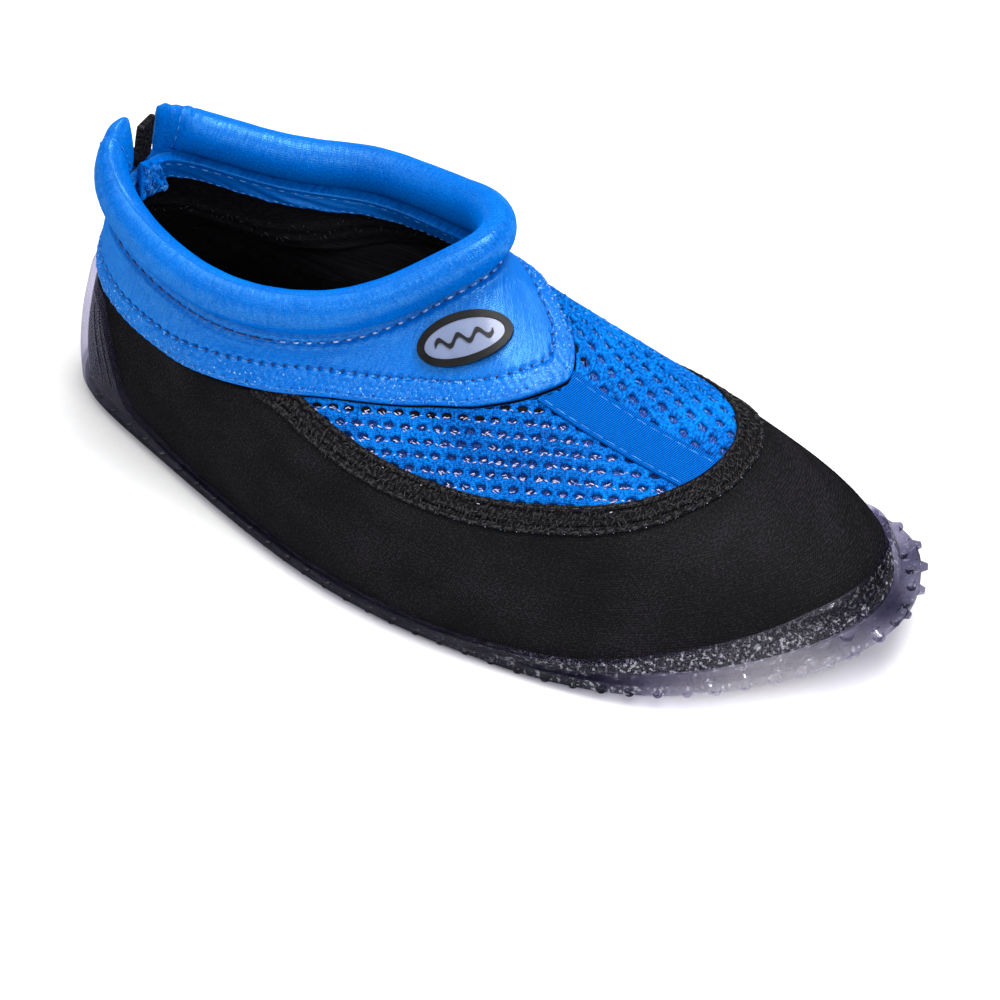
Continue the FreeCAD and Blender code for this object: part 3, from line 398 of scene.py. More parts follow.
def clear_rubber(name):
    """Clear thermoplastic rubber, faintly lavender, milky only at a very grazing look."""
    s = Shade(name)
    where = s.node("TexCoord").outputs["Object"]
    pebble = s.node("TexVoronoi", {"feature": "SMOOTH_F1"}, Vector=where, Scale=330.0, Smoothness=0.3)
    fine = s.noise(where, 1100.0, 3.0, 0.6)
    broad = s.noise(where, 60.0, 3.0, 0.55)
    height = s.math("MULTIPLY_ADD", fine, 0.22, pebble.outputs["Distance"])
    relief = s.bump(height, 0.00034)
    grazing = s.node("LayerWeight", None, Blend=0.5).outputs["Facing"]
    place = s.node("SeparateXYZ", None, i0=where)
    # the bumper on the inner side of the toe is thick and looks dark
    inward = s.mapped(place.outputs["X"], 0.016, -0.012)
    thick = s.math("MULTIPLY", inward, s.mapped(place.outputs["Y"], 0.100, 0.128))
    # the flange before the outer toe is thin and lets the most light through
    outward = s.math("SUBTRACT", 1.0, inward)
    thin = s.math("MULTIPLY", outward, s.mapped(place.outputs["Y"], 0.080, 0.112))
    # painted shade: the tint is darker towards the foot of the sole, for the shade of the tread and under
    # the shoe, which also darkens the shadow it casts on the floor
    low = s.mapped(place.outputs["Z"], 0.007, 0.001)
    tone = s.math("MULTIPLY_ADD", broad, 0.3, 0.2)
    for part, share in ((thick, -0.25), (thin, 0.45), (low, -0.45)):
        tone = s.math("MULTIPLY_ADD", part, share, tone)
    tint = s.ramp(tone, (0.0, rgb(98, 96, 124)), (0.3, rgb(214, 211, 226)), (0.75, rgb(250, 249, 253)))
    clear = s.node("BsdfTransparent", None, Color=tint)
    # facets of the pebbled skin round the toe catch the light here and there
    facets = s.noise(where, 760.0, 2.0, 0.7)
    toeward = s.mapped(place.outputs["Y"], 0.01, 0.07, 0.0, 0.24)
    sparse = s.mapped(facets, 0.565, 0.64)
    catch = s.math("MULTIPLY_ADD", sparse, toeward, 0.014)
    gloss = s.node("BsdfAnisotropic", None, Color=(0.9, 0.9, 1.0, 1), Roughness=0.17, Normal=relief)
    face = s.node("MixShader", None, i0=catch, i1=clear.outputs[0], i2=gloss.outputs[0])
    milk_tint = s.ramp(tone, (0.0, rgb(40, 40, 62)), (0.3, rgb(116, 116, 144)),
                       (0.75, rgb(196, 196, 216)))
    milk = s.node("BsdfPrincipled", None, Base_Color=milk_tint, Roughness=0.35, Normal=relief)
    haze = s.math("MULTIPLY_ADD", s.math("POWER", grazing, 6.0), 0.5, 0.008)
    body = s.node("MixShader", None, i0=haze, i1=face.outputs[0], i2=milk.outputs[0])
    return s.finish(body)


BLUE_DARK = rgb(0, 72, 158)
BLUE_MID = rgb(0, 100, 195)
BLUE_LIGHT = rgb(0, 124, 220)
BLUE_SHINE = (0.10, 0.45, 0.85)
SATIN = (0.28, 0.74, 1.0)
SLOTS = {}


def add_slot(make, name, *values, **looks):
    SLOTS[name] = make(name, *values, **looks)


add_slot(knit, "black_neoprene", rgb(6, 6, 8), rgb(16, 15, 18), rgb(42, 40, 45), pitch=0.8, grain=0.8,
         depth=0.16, rough=0.7, gloss=0.006, contrast=0.18)
add_slot(knit, "blue_neoprene", BLUE_DARK, BLUE_MID, BLUE_LIGHT, pitch=0.6, grain=0.7, depth=0.08,
         rough=0.19, gloss=0.055, gloss_tint=SATIN, contrast=0.24, streak=0.12, dull=0.5)
add_slot(knit, "blue_mesh", rgb(0, 40, 108), rgb(0, 92, 186), rgb(4, 134, 232), pitch=0.5, grain=0.8,
         depth=0.35, rough=0.45, gloss=0.05, gloss_tint=BLUE_SHINE, contrast=0.13)
add_slot(knit, "vamp_lining", rgb(2, 34, 96), rgb(8, 58, 140), rgb(84, 124, 200), pitch=0.8,
         grain=1.0, depth=0.25, rough=0.6, contrast=0.2)
add_slot(ribbed, "blue_webbing", rgb(0, 56, 140), rgb(0, 92, 190), rgb(0, 120, 222), rib=0.62,
         cross=0.55, depth=0.35, rough=0.45, gloss=0.05, tint=BLUE_SHINE, fuzz_share=0.45)
add_slot(ribbed, "black_webbing", rgb(6, 6, 8), rgb(18, 17, 20), rgb(70, 67, 73), rib=1.2, cross=0.6,
         depth=0.45, rough=0.6, gloss=0.01, fuzz_share=0.95, fuzz_scale=0.95)
add_slot(knit, "insole", rgb(5, 5, 7), rgb(12, 12, 15), rgb(30, 30, 34), pitch=0.9, grain=0.9,
         depth=0.2, rough=0.8, gloss=0.005, contrast=0.16)
add_slot(moulded, "board", rgb(196, 190, 176), 0.8, depth=0.15)
add_slot(moulded, "badge_rubber", rgb(8, 8, 11), 0.35, shine=0.18)
add_slot(moulded, "badge_grey", rgb(104, 116, 148), 0.25, coat=0.35, speck=0.06)
add_slot(moulded, "badge_emblem", rgb(9, 10, 18), 0.35, shine=0.25)
add_slot(clear_rubber, "clear_sole")
BLUE_THREAD = thread("blue_thread", rgb(0, 92, 190), rgb(64, 156, 240))
PAINTED_SHADE_NAVY_THREAD = thread("painted_shade_navy_thread", rgb(0, 26, 80), rgb(0, 44, 116))
PAINTED_GLINT_SKY_THREAD = thread("painted_glint_sky_thread", rgb(20, 124, 232), rgb(150, 202, 255))
PALE_THREAD = thread("pale_thread", rgb(40, 134, 230), rgb(214, 228, 255))
PAINTED_GLINT_THREAD = thread("painted_glint_thread", rgb(70, 112, 200), rgb(232, 220, 240))
BLACK_THREAD = thread("black_thread", rgb(10, 10, 11), rgb(48, 46, 49), rough=0.6)

# ---- mesh helpers


def piece(name, points, faces, material, body="shoe", cloth=None, nodes=(), sharp=50.0):
    """A Blender mesh from points in the last's millimetres; it rides on a CAD body."""
    points = (np.asarray(points, float).reshape(-1, 3) - ORIGIN) / 1000.0
    data = bpy.data.meshes.new(name)
    data.from_pydata(points.tolist(), [], faces if isinstance(faces, list) else faces.tolist())
    if cloth is not None:
        corners = np.zeros(len(data.loops), np.int32)
        data.loops.foreach_get("vertex_index", corners)
        data.uv_layers.new(name="cloth").data.foreach_set("uv", cloth.reshape(-1, 2)[corners].ravel())
    data.validate()
    data.shade_smooth()
    data.set_sharp_from_angle(angle=math.radians(sharp))
    made = bpy.data.objects.new(name, data)
    bpy.context.scene.collection.objects.link(made)
    data.materials.append(material)
    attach(made, body)
    if nodes:
        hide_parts(*nodes)
    return made


def cover(name, built, slot, *nodes, body="shoe", sharp=50.0):
    """A piece of a slot's cloth from (points, faces, cloth) that stands for CAD nodes."""
    points, faces, cloth = built
    return piece(name, points, faces, SLOTS[slot], body, cloth, nodes, sharp)


def per_mm(t, w, way=1):
    """Change of t (way 0) or of w (way 1) for one millimetre walked that way."""
    return 1.0 / np.linalg.norm(slopes_of(t, w)[way], axis=-1)


def quads(index, wrap_columns=False):
    """Quads over a grid of point numbers."""
    if wrap_columns:
        index = np.hstack([index, index[:, :1]])
    return np.stack([index[:-1, :-1], index[1:, :-1], index[1:, 1:], index[:-1, 1:]], -1).reshape(-1, 4)


def run_length(points, axis):
    """Distance walked along one axis of a grid of points."""
    step = np.linalg.norm(np.diff(points, axis=axis), axis=-1)
    walked = np.cumsum(step, axis=axis)
    first = np.zeros_like(np.take(walked, [0], axis=axis))
    return np.concatenate([first, walked], axis=axis)


def between(at, walked, points):
    """Points at walked lengths along a line of points."""
    return np.stack([np.interp(at, walked, points[:, k]) for k in range(3)], -1)


def closed_sheet(top, bottom, cloth):
    """Points, quads and cloth coordinates of two grids of points that share their rim."""
    rows, columns = top.shape[:2]
    index = np.arange(rows * columns).reshape(rows, columns)
    back = index.copy()
    back[1:-1, 1:-1] = np.arange((rows - 2) * (columns - 2)).reshape(rows - 2, columns - 2) + rows * columns
    points = np.concatenate([top.reshape(-1, 3), bottom[1:-1, 1:-1].reshape(-1, 3)])
    faces = np.concatenate([quads(index), quads(back)[:, ::-1]])
    cloth = np.concatenate([cloth.reshape(-1, 2), cloth[1:-1, 1:-1].reshape(-1, 2)])
    return points, faces, cloth


def tube(rings, along, girth, inward=False):
    """Points, faces and cloth coordinates of rings of points, closed at both ends."""
    rows, columns = rings.shape[:2]
    index = np.arange(rows * columns).reshape(rows, columns)
    sides = quads(index, wrap_columns=True)
    faces = (sides[:, ::-1] if inward else sides).tolist()
    faces.append(index[0].tolist())
    faces.append(index[-1][::-1].tolist())
    cloth = np.stack(np.broadcast_arrays(along, girth), -1)
    return rings.reshape(-1, 3), faces, cloth.reshape(-1, 2)


def shares(count, length, soft):
    """Even shares of a length, closer together over the soft edge at each end."""
    near = np.array([0.0, 0.08, 0.25, 0.55]) * soft / length
    inner = np.linspace(soft / length, 1 - soft / length, count)
    return np.concatenate([near, inner, 1 - near[::-1]])


def patch(place, low, high, across, up, soft=0.8, relief=None, under=None):
    """Points, quads and cloth coordinates of a cloth layer with rounded edges.

    place(u, v) names its (t, w); low and high are its offsets off the last.
    relief(x, y, height) lifts its outer face and under its inner one; x and y are walked lengths.
    """
    middle = np.linspace(0, 1, 40)
    half = np.full(40, 0.5)
    wide = run_length(surface(*place(middle, half)), 0)[-1]
    tall = run_length(surface(*place(half, middle)), 0)[-1]
    u, v = np.meshgrid(shares(across, wide, soft), shares(up, tall, soft), indexing="ij")
    t, w = place(u, v)
    base = surface(t, w)
    out = normal(t, w)
    x = run_length(base, 0)
    y = run_length(base, 1)
    height = y[:, -1:]
    edge = np.minimum(np.minimum(x, x[-1:] - x), np.minimum(y, height - y))
    rim = 1 - np.clip(edge / soft, 0, 1)
    drop = (1 - np.sqrt(1 - rim ** 2)) * (high - low) / 2
    lift = relief(x, y, height) * (1 - rim) if relief else 0.0
    sink = under(x, y, height) * (1 - rim) if under else 0.0
    top = base + out * (high - drop + lift)[..., None]
    bottom = base + out * (low + drop + sink)[..., None]
    return closed_sheet(top, bottom, np.stack([x, y], -1))


def capsules(starts, ends, normals, radius, arch, sunk=0.5, rings=7):
    """Sewn threads from starts to ends, each a bowed bead that dips in at both ends."""
    sides = 6
    share = (1 - np.cos(np.linspace(0, math.pi, rings))) / 2
    girth = np.sqrt(np.clip(1 - (2 * share - 1) ** 4, 0.02, 1))
    angle = np.arange(sides) * 2 * math.pi / sides
    run = ends - starts
    ahead = unit(run)
    side = unit(np.cross(ahead, normals))
    out = np.cross(side, ahead)
    climb = (1 - (2 * share - 1) ** 2) * arch - sunk * radius
    middle = starts[:, None] + run[:, None] * share[:, None] + normals[:, None] * climb[:, None]
    ring = (side[:, None, None] * np.cos(angle)[:, None] + out[:, None, None] * np.sin(angle)[:, None])
    points = middle[:, :, None] + ring * (radius * girth)[:, None, None]
    one = quads(np.arange(rings * sides).reshape(rings, sides), wrap_columns=True)
    caps = [list(range(sides))[::-1], list(range((rings - 1) * sides, rings * sides))]
    faces = []
    for k in range(len(starts)):
        base = k * rings * sides
        faces.extend((one + base).tolist())
        faces.extend([[i + base for i in cap] for cap in caps])
    return points.reshape(-1, 3), faces


def sew(name, groups, material):
    """One piece out of several groups of capsules."""
    points, faces, count = [], [], 0
    for group_points, group_faces in groups:
        points.append(group_points)
        faces.extend([[i + count for i in face] for face in group_faces])
        count += len(group_points)
    return piece(name, np.concatenate(points), faces, material, sharp=80.0)


def walk(t, w, offset, pitch):
    """Points and normals every half pitch along the line (t, w) at an offset off the last."""
    walked = run_length(layer(t, w, offset), 0)
    count = max(2, int(walked[-1] / pitch))
    at = np.linspace(0, walked[-1], count * 2 + 1)
    t, w = np.interp(at, walked, t), np.interp(at, walked, w)
    return layer(t, w, offset), normal(t, w)


def stitch_row(t, w, offset, pitch, share, radius, arch):
    """Lock stitches along a line, with a small gap between one and the next."""
    points, out = walk(t, w, offset, pitch)
    centre = points[1::2]
    ahead = (points[2::2] - points[:-1:2]) * 0.5 * share
    wobble = 1 + RANDOM.uniform(-0.08, 0.08, len(centre))[:, None]
    return capsules(centre - ahead * wobble, centre + ahead * wobble, out[1::2], radius, arch)


def painted_shade_dimples(t, w, offset, pitch, radius):
    """Painted shade: dark beads in the dimples between one stitch and the next."""
    points, out = walk(t, w, offset, pitch)
    gaps = slice(2, -1, 2)
    half = unit(np.gradient(points, axis=0))[gaps] * 0.45
    return capsules(points[gaps] - half, points[gaps] + half, out[gaps], radius, 0.0, 0.2, rings=5)


def scatter(t, w, offset, spread, pitch, radius, reach=(0.5, 1.15)):
    """Short loose threads lying every way over a seam, as a flatlock looks from a little way off."""
    points, out = walk(t, w, offset, pitch)
    ahead = unit(np.gradient(points, axis=0))
    side = np.cross(out, ahead)
    count = len(points)
    centre = points + side * RANDOM.uniform(-spread, spread, (count, 1))
    angle = RANDOM.normal(1.2, 0.45, (count, 1)) * RANDOM.choice([-1.0, 1.0], (count, 1))
    half = RANDOM.uniform(*reach, (count, 1))
    run = (ahead * np.cos(angle) + side * np.sin(angle)) * half
    return capsules(centre - run, centre + run, out, radius, 0.12, 0.4, rings=5)


# ---- the shell


def make_side_panel():
    """Black neoprene wrap, drawn in a little along the sole's edge and the seams."""
    def place(u, v):
        t = around_heel(u)
        return t, v * (panel_top(t) - 0.004)

    def relief(x, y, height):
        sag = 0.22 * ripple(x, y, 46.0, 2.0) * ease(y, 4.0, 16.0)
        seam = -0.30 * bell(height - y, 5.2, 1.6)
        return sag * ease(height - y, 2.0, 14.0) + seam
    cover("side_panel_cloth", patch(place, -PANEL_THICK, 0.0, 420, 46, 0.8, relief),
          "black_neoprene", "side_panel")


BAND_SEAM = 8.8
ROLL_SEAM = 3.6
HEM_STITCH = 3.6
COLLAR_STITCH = 4.0


def make_band():
    """Blue ankle band with a raised flatlock hem below and a stitch line under the collar."""
    def place(u, v):
        t = around_heel(u)
        low = band_edge(t) + 0.003
        return t, low + v * (1.0 - low)

    def relief(x, y, height):
        knots = 0.26 * ripple(x, y, 1.9, 5.0) + 0.16 * ripple(x, y, 4.4, 8.0)
        hem = ease(BAND_SEAM - y, 0.0, 1.6) * (0.22 + knots * ease(y, 1.2, 2.4))
        groove = -0.55 * bell(y, BAND_SEAM, 0.8) - 0.2 * bell(y, 1.5, 0.6)
        dimple = 0.32 * np.cos(2 * math.pi * x / HEM_STITCH) * bell(y, BAND_SEAM, 1.3)
        tuck = -0.6 * bell(height - y, ROLL_SEAM, 0.9) + 0.25 * bell(height - y, ROLL_SEAM + 2.4, 1.4)
        pucker = 0.13 * np.cos(2 * math.pi * x / COLLAR_STITCH) * bell(height - y, ROLL_SEAM, 2.0)
        sag = 0.25 * ripple(x, y, 38.0, 7.0) * ease(y, 10.0, 16.0) * ease(height - y, 5.0, 9.0)
        scallop = -0.22 * (1 + np.cos(2 * math.pi * x / HEM_STITCH)) * bell(y, 0.6, 0.7)
        return hem + groove + dimple + tuck + pucker + sag + scallop
    cover("ankle_band_cloth", patch(place, BAND_INNER, BAND_OUTER, 900, 74, 0.8, relief),
          "blue_neoprene", "ankle_band")

    t = np.linspace(0.006, 0.994, 900)
    low = band_edge(t) + 0.003
    rise = per_mm(t, low)
    hem_line = low + BAND_SEAM * rise
    hem_middle = low + 0.5 * BAND_SEAM * rise
    glint_line = low + 0.55 * BAND_SEAM * rise
    sew("ankle_band_hem_threads", [
        stitch_row(t, hem_line, 1.2, HEM_STITCH, 0.45, 0.34, 0.28),
        stitch_row(t, low + 1.5 * rise, 1.45, HEM_STITCH, 0.6, 0.24, 0.15),
        scatter(t, hem_middle, 1.62, 3.1, 2.0, 0.22)], BLUE_THREAD)
    # painted highlight: pale sky-blue threads over the hem, and more at the front corner, stand for its
    # glints
    glints = scatter(t, glint_line, 1.62, 3.3, 3.4, 0.27, (0.15, 0.45))
    sew("ankle_band_hem_painted_glints", [glints], PAINTED_GLINT_SKY_THREAD)
    corner = (t > 0.33) & (t < 0.56)
    glints = scatter(t[corner], glint_line[corner], 1.64, 3.3, 1.6, 0.24, (0.12, 0.45))
    sew("ankle_band_front_painted_glints", [glints], PAINTED_GLINT_SKY_THREAD)
    high = 1.0 - ROLL_SEAM * per_mm(t, 0.98)
    # painted shade: dark navy beads in the stitch dimples of the hem and the collar seam
    sew("ankle_band_painted_shade_dimples", [
        painted_shade_dimples(t, hem_line + 0.3 * rise, 1.22, HEM_STITCH, 0.42),
        painted_shade_dimples(t, low + 2.3 * rise, 1.62, HEM_STITCH, 0.26),
        painted_shade_dimples(t, high, 0.95, COLLAR_STITCH, 0.42)], PAINTED_SHADE_NAVY_THREAD)
    # painted shade and highlight: the collar seam's threads are dark navy at the sides for the shade in its
    # groove, and pale at the front for its glints
    near, front, far = t < 0.27, (t > 0.27) & (t < 0.70), t > 0.70
    sides = [stitch_row(t[part], high[part], 1.0, COLLAR_STITCH, 0.86, 0.34, 0.1) for part in (near, far)]
    sew("collar_seam_painted_shade_threads", sides, PAINTED_SHADE_NAVY_THREAD)
    sew("collar_front_painted_glint_threads",
        [stitch_row(t[front], high[front], 1.05, COLLAR_STITCH, 0.42, 0.32, 0.3)], PALE_THREAD)


# the lining laps over the joint below the band, so no light comes through there
LINING_LAP = 0.028


def make_ankle_lining():
    """Black lining with two soft ridges where the seams lie behind it."""
    def place(u, v):
        t = around_heel(u)
        low = band_edge(t) - LINING_LAP
        high = 1.0 - 1.7 * per_mm(t, 0.97)
        return t, low + v * (high - low)

    def inner(x, y, height):
        ridges = bell(y, 4.6, 1.5) + bell(y, 8.8, 1.5)
        return 0.25 * ripple(x, y, 30.0, 3.0) - ridges * (0.55 + 0.25 * ripple(x, y, 2.4, 4.0))
    cover("ankle_lining_cloth", patch(place, LINING_INNER, LINING_OUTER, 420, 44, 0.7, under=inner),
          "black_neoprene", "ankle_lining")
    t = np.linspace(0.01, 0.99, 700)
    line = band_edge(t) + 5.1 * per_mm(t, band_edge(t))
    sew("lining_seam_threads", [scatter(t, line, LINING_INNER - 0.4, 3.0, 3.2, 0.16)], BLACK_THREAD)


def make_facing():
    """Blue facing inside the collar, its top turned out to meet the padded roll."""
    girth = 620.0

    def rise(t):
        return per_mm(t, 0.97)

    def low_at(t):
        ragged = 0.45 * ripple(t * girth, 0.0 * t, 9.0, 2.0) + 0.25 * ripple(t * girth, 0.0 * t, 3.0, 6.0)
        return 1.0 - (9.0 + ragged) * rise(t)

    def place(u, v):
        t = around_heel(u)
        low = low_at(t)
        return t, low + v * (0.999 - low)
    top = LINING_INNER - GAP

    def under(x, y, height):
        wave = 0.5 * ripple(x, y, 14.0, 4.0) * ease(height - y, 0.5, 4.0)
        pucker = -0.14 * np.cos(2 * math.pi * x / 3.4) * bell(y, 1.4, 1.0)
        return np.minimum(wave, 0.3) + pucker + 0.3 * bell(height - y, 2.2, 0.6)

    def turned(x, y, height):
        return 2.45 * ease(y - height, -1.5, -0.6)
    cover("collar_facing_cloth", patch(place, top - 1.0, top, 620, 30, 0.4, turned, under),
          "blue_neoprene", "collar_facing")
    t = np.linspace(0.012, 0.988, 900)
    sew("facing_threads", [
        stitch_row(t, low_at(t) + 1.0 * rise(t), top - 1.05, 2.6, 0.6, 0.2, -0.15),
        stitch_row(t, 1.0 - 2.2 * rise(t), top - 0.8, 4.0, 0.5, 0.2, -0.15)], BLUE_THREAD)


# ---- the vamp

ROW_PITCH = 5.0
ROW_SPACING = 4.0
ROW_SIDE = {"lateral": (-0.26, 0.96, 0.15), "medial": (-0.15, 0.97, 0.10)}
HOLE_HALF = (1.66, 1.02)
VAMP_HEIGHTS = (0.40, 0.86)


def find_places(targets, axes, centre, t_range):
    """(t, w) whose flattened place on two axes is each target, by Newton steps."""
    t, w = np.meshgrid(np.linspace(*t_range, 90), np.linspace(*VAMP_HEIGHTS, 50), indexing="ij")
    t, w = t.ravel(), w.ravel()
    known = (surface(t, w) - centre) @ axes.T
    start = np.array([np.argmin(((known - target) ** 2).sum(-1)) for target in targets])
    t, w = t[start], w[start]
    for _ in range(6):
        along, rise = slopes_of(t, w)
        a, b = along @ axes.T, rise @ axes.T
        miss = targets - (surface(t, w) - centre) @ axes.T
        det = a[:, 0] * b[:, 1] - a[:, 1] * b[:, 0]
        det = np.where(np.abs(det) < 1.0, 1.0, det)
        dt = (miss[:, 0] * b[:, 1] - miss[:, 1] * b[:, 0]) / det
        dw = (a[:, 0] * miss[:, 1] - a[:, 1] * miss[:, 0]) / det
        t = np.clip(t + np.clip(dt, -0.02, 0.02), *t_range)
        w = np.clip(w + np.clip(dw, -0.05, 0.05), *VAMP_HEIGHTS)
    return t, w


def make_mesh(side):
    """Open spacer mesh: rounded cords round oval holes in staggered rows."""
    slit = 0.0008
    if side == "lateral":
        first, last = VAMP_START + 0.005, 0.492
        middle = (0.375, 0.62)
    else:
        first, last = 0.462, VAMP_END - 0.005
        middle = (0.585, 0.64)
    centre = surface(*middle)
    out = normal(*middle)
    row = np.array(ROW_SIDE[side])
    row = unit(row - out * dot(row, out))
    axes = np.stack([row, np.cross(out, row)])
    half_row, half_space = ROW_PITCH / 2, ROW_SPACING / 2
    # six corners of a staggered cell, each with the point halfway to the next
    hexagon = np.array([(0, 1.32), (-1, 0.68), (-1, -0.68), (0, -1.32), (1, -0.68), (1, 0.68)])
    halfway = (hexagon + np.roll(hexagon, -1, 0)) / 2
    corner = np.stack([hexagon, halfway], 1).reshape(-1, 2) * (half_row, half_space)
    angle = np.arctan2(corner[:, 1] / half_space, corner[:, 0] / half_row)
    hole = np.stack([np.cos(angle), np.sin(angle)], -1) * HOLE_HALF
    # each ring's share of the way from the hole to the cell's corners, and its height
    rings = [(1.0, 0.0), (0.72, 0.10), (0.42, 0.02), (0.18, -0.22), (0.0, -0.62), (-0.04, -1.25)]
    span = range(-22, 23)
    cells = np.array([(i * ROW_PITCH + (j % 2) * half_row, j * ROW_SPACING) for j in span for i in span])
    ct, cw = find_places(cells, axes, centre, (first, last))
    error = np.linalg.norm((surface(ct, cw) - centre) @ axes.T - cells, axis=-1)
    reach = 0.030
    inside = (error < 0.3) & (cw > vamp_edge(ct) - reach) & (cw < band_edge(ct) + reach)
    cells = cells[inside]
    flat = np.stack([cells[:, None] + hole[None] * (1 - share) + corner[None] * share
                     for share, _ in rings], 1)
    depth = np.array([np.full(len(corner), offset) for _, offset in rings])
    jitter = RANDOM.uniform(-0.10, 0.10, (len(cells), 1, 1, 2))
    flat = flat + jitter * np.array([0.0, 0.3, 0.8, 1, 1, 1])[None, :, None, None]
    targets = flat.reshape(-1, 2)
    t, w = find_places(targets, axes, centre, (first, last))
    if side == "lateral":
        t = np.minimum(t, strip_middle(w) - slit)
    else:
        t = np.maximum(t, strip_middle(w) + slit)
    w = np.clip(w, vamp_edge(t) + 0.005, band_edge(t) - 0.002)
    lift = np.broadcast_to(depth[None], flat.shape[:3]).reshape(-1)
    points = layer(t, w, lift)
    count = len(rings) * len(corner)
    one = quads(np.arange(count).reshape(len(rings), -1), wrap_columns=True)[:, ::-1]
    faces = (one[None] + (np.arange(len(cells)) * count)[:, None, None]).reshape(-1, 4)
    # join the points that neighbouring cells share
    key = np.round(points / 0.02).astype(np.int64)
    _, keep, same = np.unique(key, axis=0, return_index=True, return_inverse=True)
    faces = same.reshape(-1)[faces]
    whole = (np.diff(np.sort(faces, axis=1), axis=1) > 0).all(1)
    cover("mesh_%s_knit" % side, (points[keep], faces[whole], targets[keep]), "blue_mesh",
          "mesh_" + side, sharp=85.0)
    return cells, axes, centre, (first, last)


def make_vamp_lining():
    """Knitted backing behind both halves of the mesh."""
    def place(u, v):
        t = VAMP_START + 0.005 + u * (VAMP_END - VAMP_START - 0.010)
        low = vamp_edge(t) + 0.005
        high = band_edge(t) - 0.004
        return t, low + v * (high - low)
    cover("vamp_lining_cloth", patch(place, VAMP_LINING_INNER, VAMP_LINING_OUTER, 160, 60, 0.5),
          "vamp_lining", "vamp_lining")


def make_mesh_glints(side, cells, axes, centre, t_range):
    """Loops of the mesh's backing in the lower side of each hole and on the cords beside it."""
    groups = []
    # loops at the lower rim of each hole and on the cords beside it; on the outer side they are made pale,
    # a painted highlight where they catch the light
    for lean, depth in (((0.1, -0.3), -0.85), ((0.5, -0.6), -0.6), ((-0.5, -0.55), -0.7),
                        ((-0.2, -0.95), -0.25), ((2.3, -0.6), 0.0)):
        middle = cells + RANDOM.normal(0.0, 0.25, cells.shape) + lean
        run = np.stack([RANDOM.uniform(0.35, 0.8, len(cells)), RANDOM.uniform(-0.5, 0.5, len(cells))], -1)
        good = RANDOM.uniform(0, 1, len(cells)) < 0.75
        tips = []
        for tip in (middle - run, middle + run):
            t, w = find_places(tip, axes, centre, t_range)
            good &= (w > vamp_edge(t) + 0.01) & (w < band_edge(t) - 0.01)
            clear = strip_middle(w) - t if side == "lateral" else t - strip_middle(w)
            good &= clear > 0.02
            tips.append((t, w))
        starts, ends = [layer(t[good], w[good], depth) for t, w in tips]
        out = normal(tips[0][0][good], tips[0][1][good])
        groups.append(capsules(starts, ends, out, 0.18, 0.25, 0.3, rings=5))
    return groups


def make_strip():
    """Ribbed webbing strip with a stitch line along each edge."""
    half, seam = 8.0, 1.6

    def place(u, v):
        middle = strip_middle(0.6)
        across = (2 * u - 1) * half
        t = middle + across * per_mm(middle, 0.6, 0)
        low = vamp_edge(middle) + (TAPE_HALF + 0.4) * per_mm(middle, 0.5)
        high = band_edge(t) - 0.008
        w = low + v * (high - low)
        return strip_middle(w) + across * per_mm(strip_middle(w), w, 0), w

    def relief(x, y, height):
        edge = np.minimum(x, x[-1:] - x)
        return -0.22 * bell(edge, seam, 0.5) + 0.12 * bell(edge, 0.7, 0.6)
    points, faces, cloth = patch(place, GAP, GAP + WEBBING, 60, 110, 0.35, relief)
    cover("centre_strip_webbing", (points, faces, cloth[:, ::-1]), "blue_webbing", "centre_strip")
    v = np.linspace(0.01, 0.99, 120)
    edges = [place(np.full_like(v, edge / (2 * half)), v) for edge in (seam, 2 * half - seam)]
    sew("strip_threads",
        [stitch_row(t, w, GAP + WEBBING - 0.12, 4.2, 0.78, 0.18, 0.1) for t, w in edges], BLUE_THREAD)


def make_vamp_tape():
    """Black flatlock over the joint of panel and mesh; its ends run in under the band."""
    first, last = VAMP_START - 0.014, VAMP_END + 0.010

    def line_at(t):
        near = np.clip(t, VAMP_START + 0.002, VAMP_END - 0.002)
        slope = (vamp_edge(near + 0.001) - vamp_edge(near - 0.001)) / 0.002
        return vamp_edge(near) + slope * (t - near)

    def place(u, v):
        t = first + u * (last - first)
        w = line_at(t)
        here = surface(t, w)
        line = unit(surface(t + 0.002, line_at(t + 0.002)) - here)
        side = np.cross(normal(t, w), line)
        return shifted(t, w, side * ((2 * v - 1) * TAPE_HALF)[..., None])

    def along(v, begin, end, count):
        u = np.linspace(begin, end, count)
        return place(u, np.full_like(u, v))

    def relief(x, y, height):
        edge = np.minimum(y, height - y)
        knots = 0.22 * ripple(x, y, 1.7, 1.0) + 0.16 * ripple(x, y, 3.8, 9.0)
        return knots * ease(edge, 0.3, 1.2) - 0.75 * bell(edge, 2.3, 0.45) - 0.3 * bell(edge, 4.3, 0.5)
    cover("vamp_tape_webbing", patch(place, GAP, GAP + WEBBING, 700, 34, 0.4, relief),
          "black_webbing", "vamp_tape")
    groups = [scatter(*along(v, 0.03, 0.97, 900), GAP + 0.78, 1.5, 3.6, 0.2) for v in (0.2, 0.5, 0.8)]
    for v in (0.10, 0.90):
        groups.append(stitch_row(*along(v, 0.03, 0.97, 900), GAP + 0.7, 3.4, 0.66, 0.28, 0.25))
    sew("vamp_tape_threads", groups, BLACK_THREAD)
    # a few loops of the blue under-thread show along the outer edge
    dots = stitch_row(*along(0.03, 0.22, 0.62, 400), GAP + 0.45, 4.8, 0.12, 0.26, 0.25)
    sew("vamp_tape_bobbin_dots", [dots], PALE_THREAD)


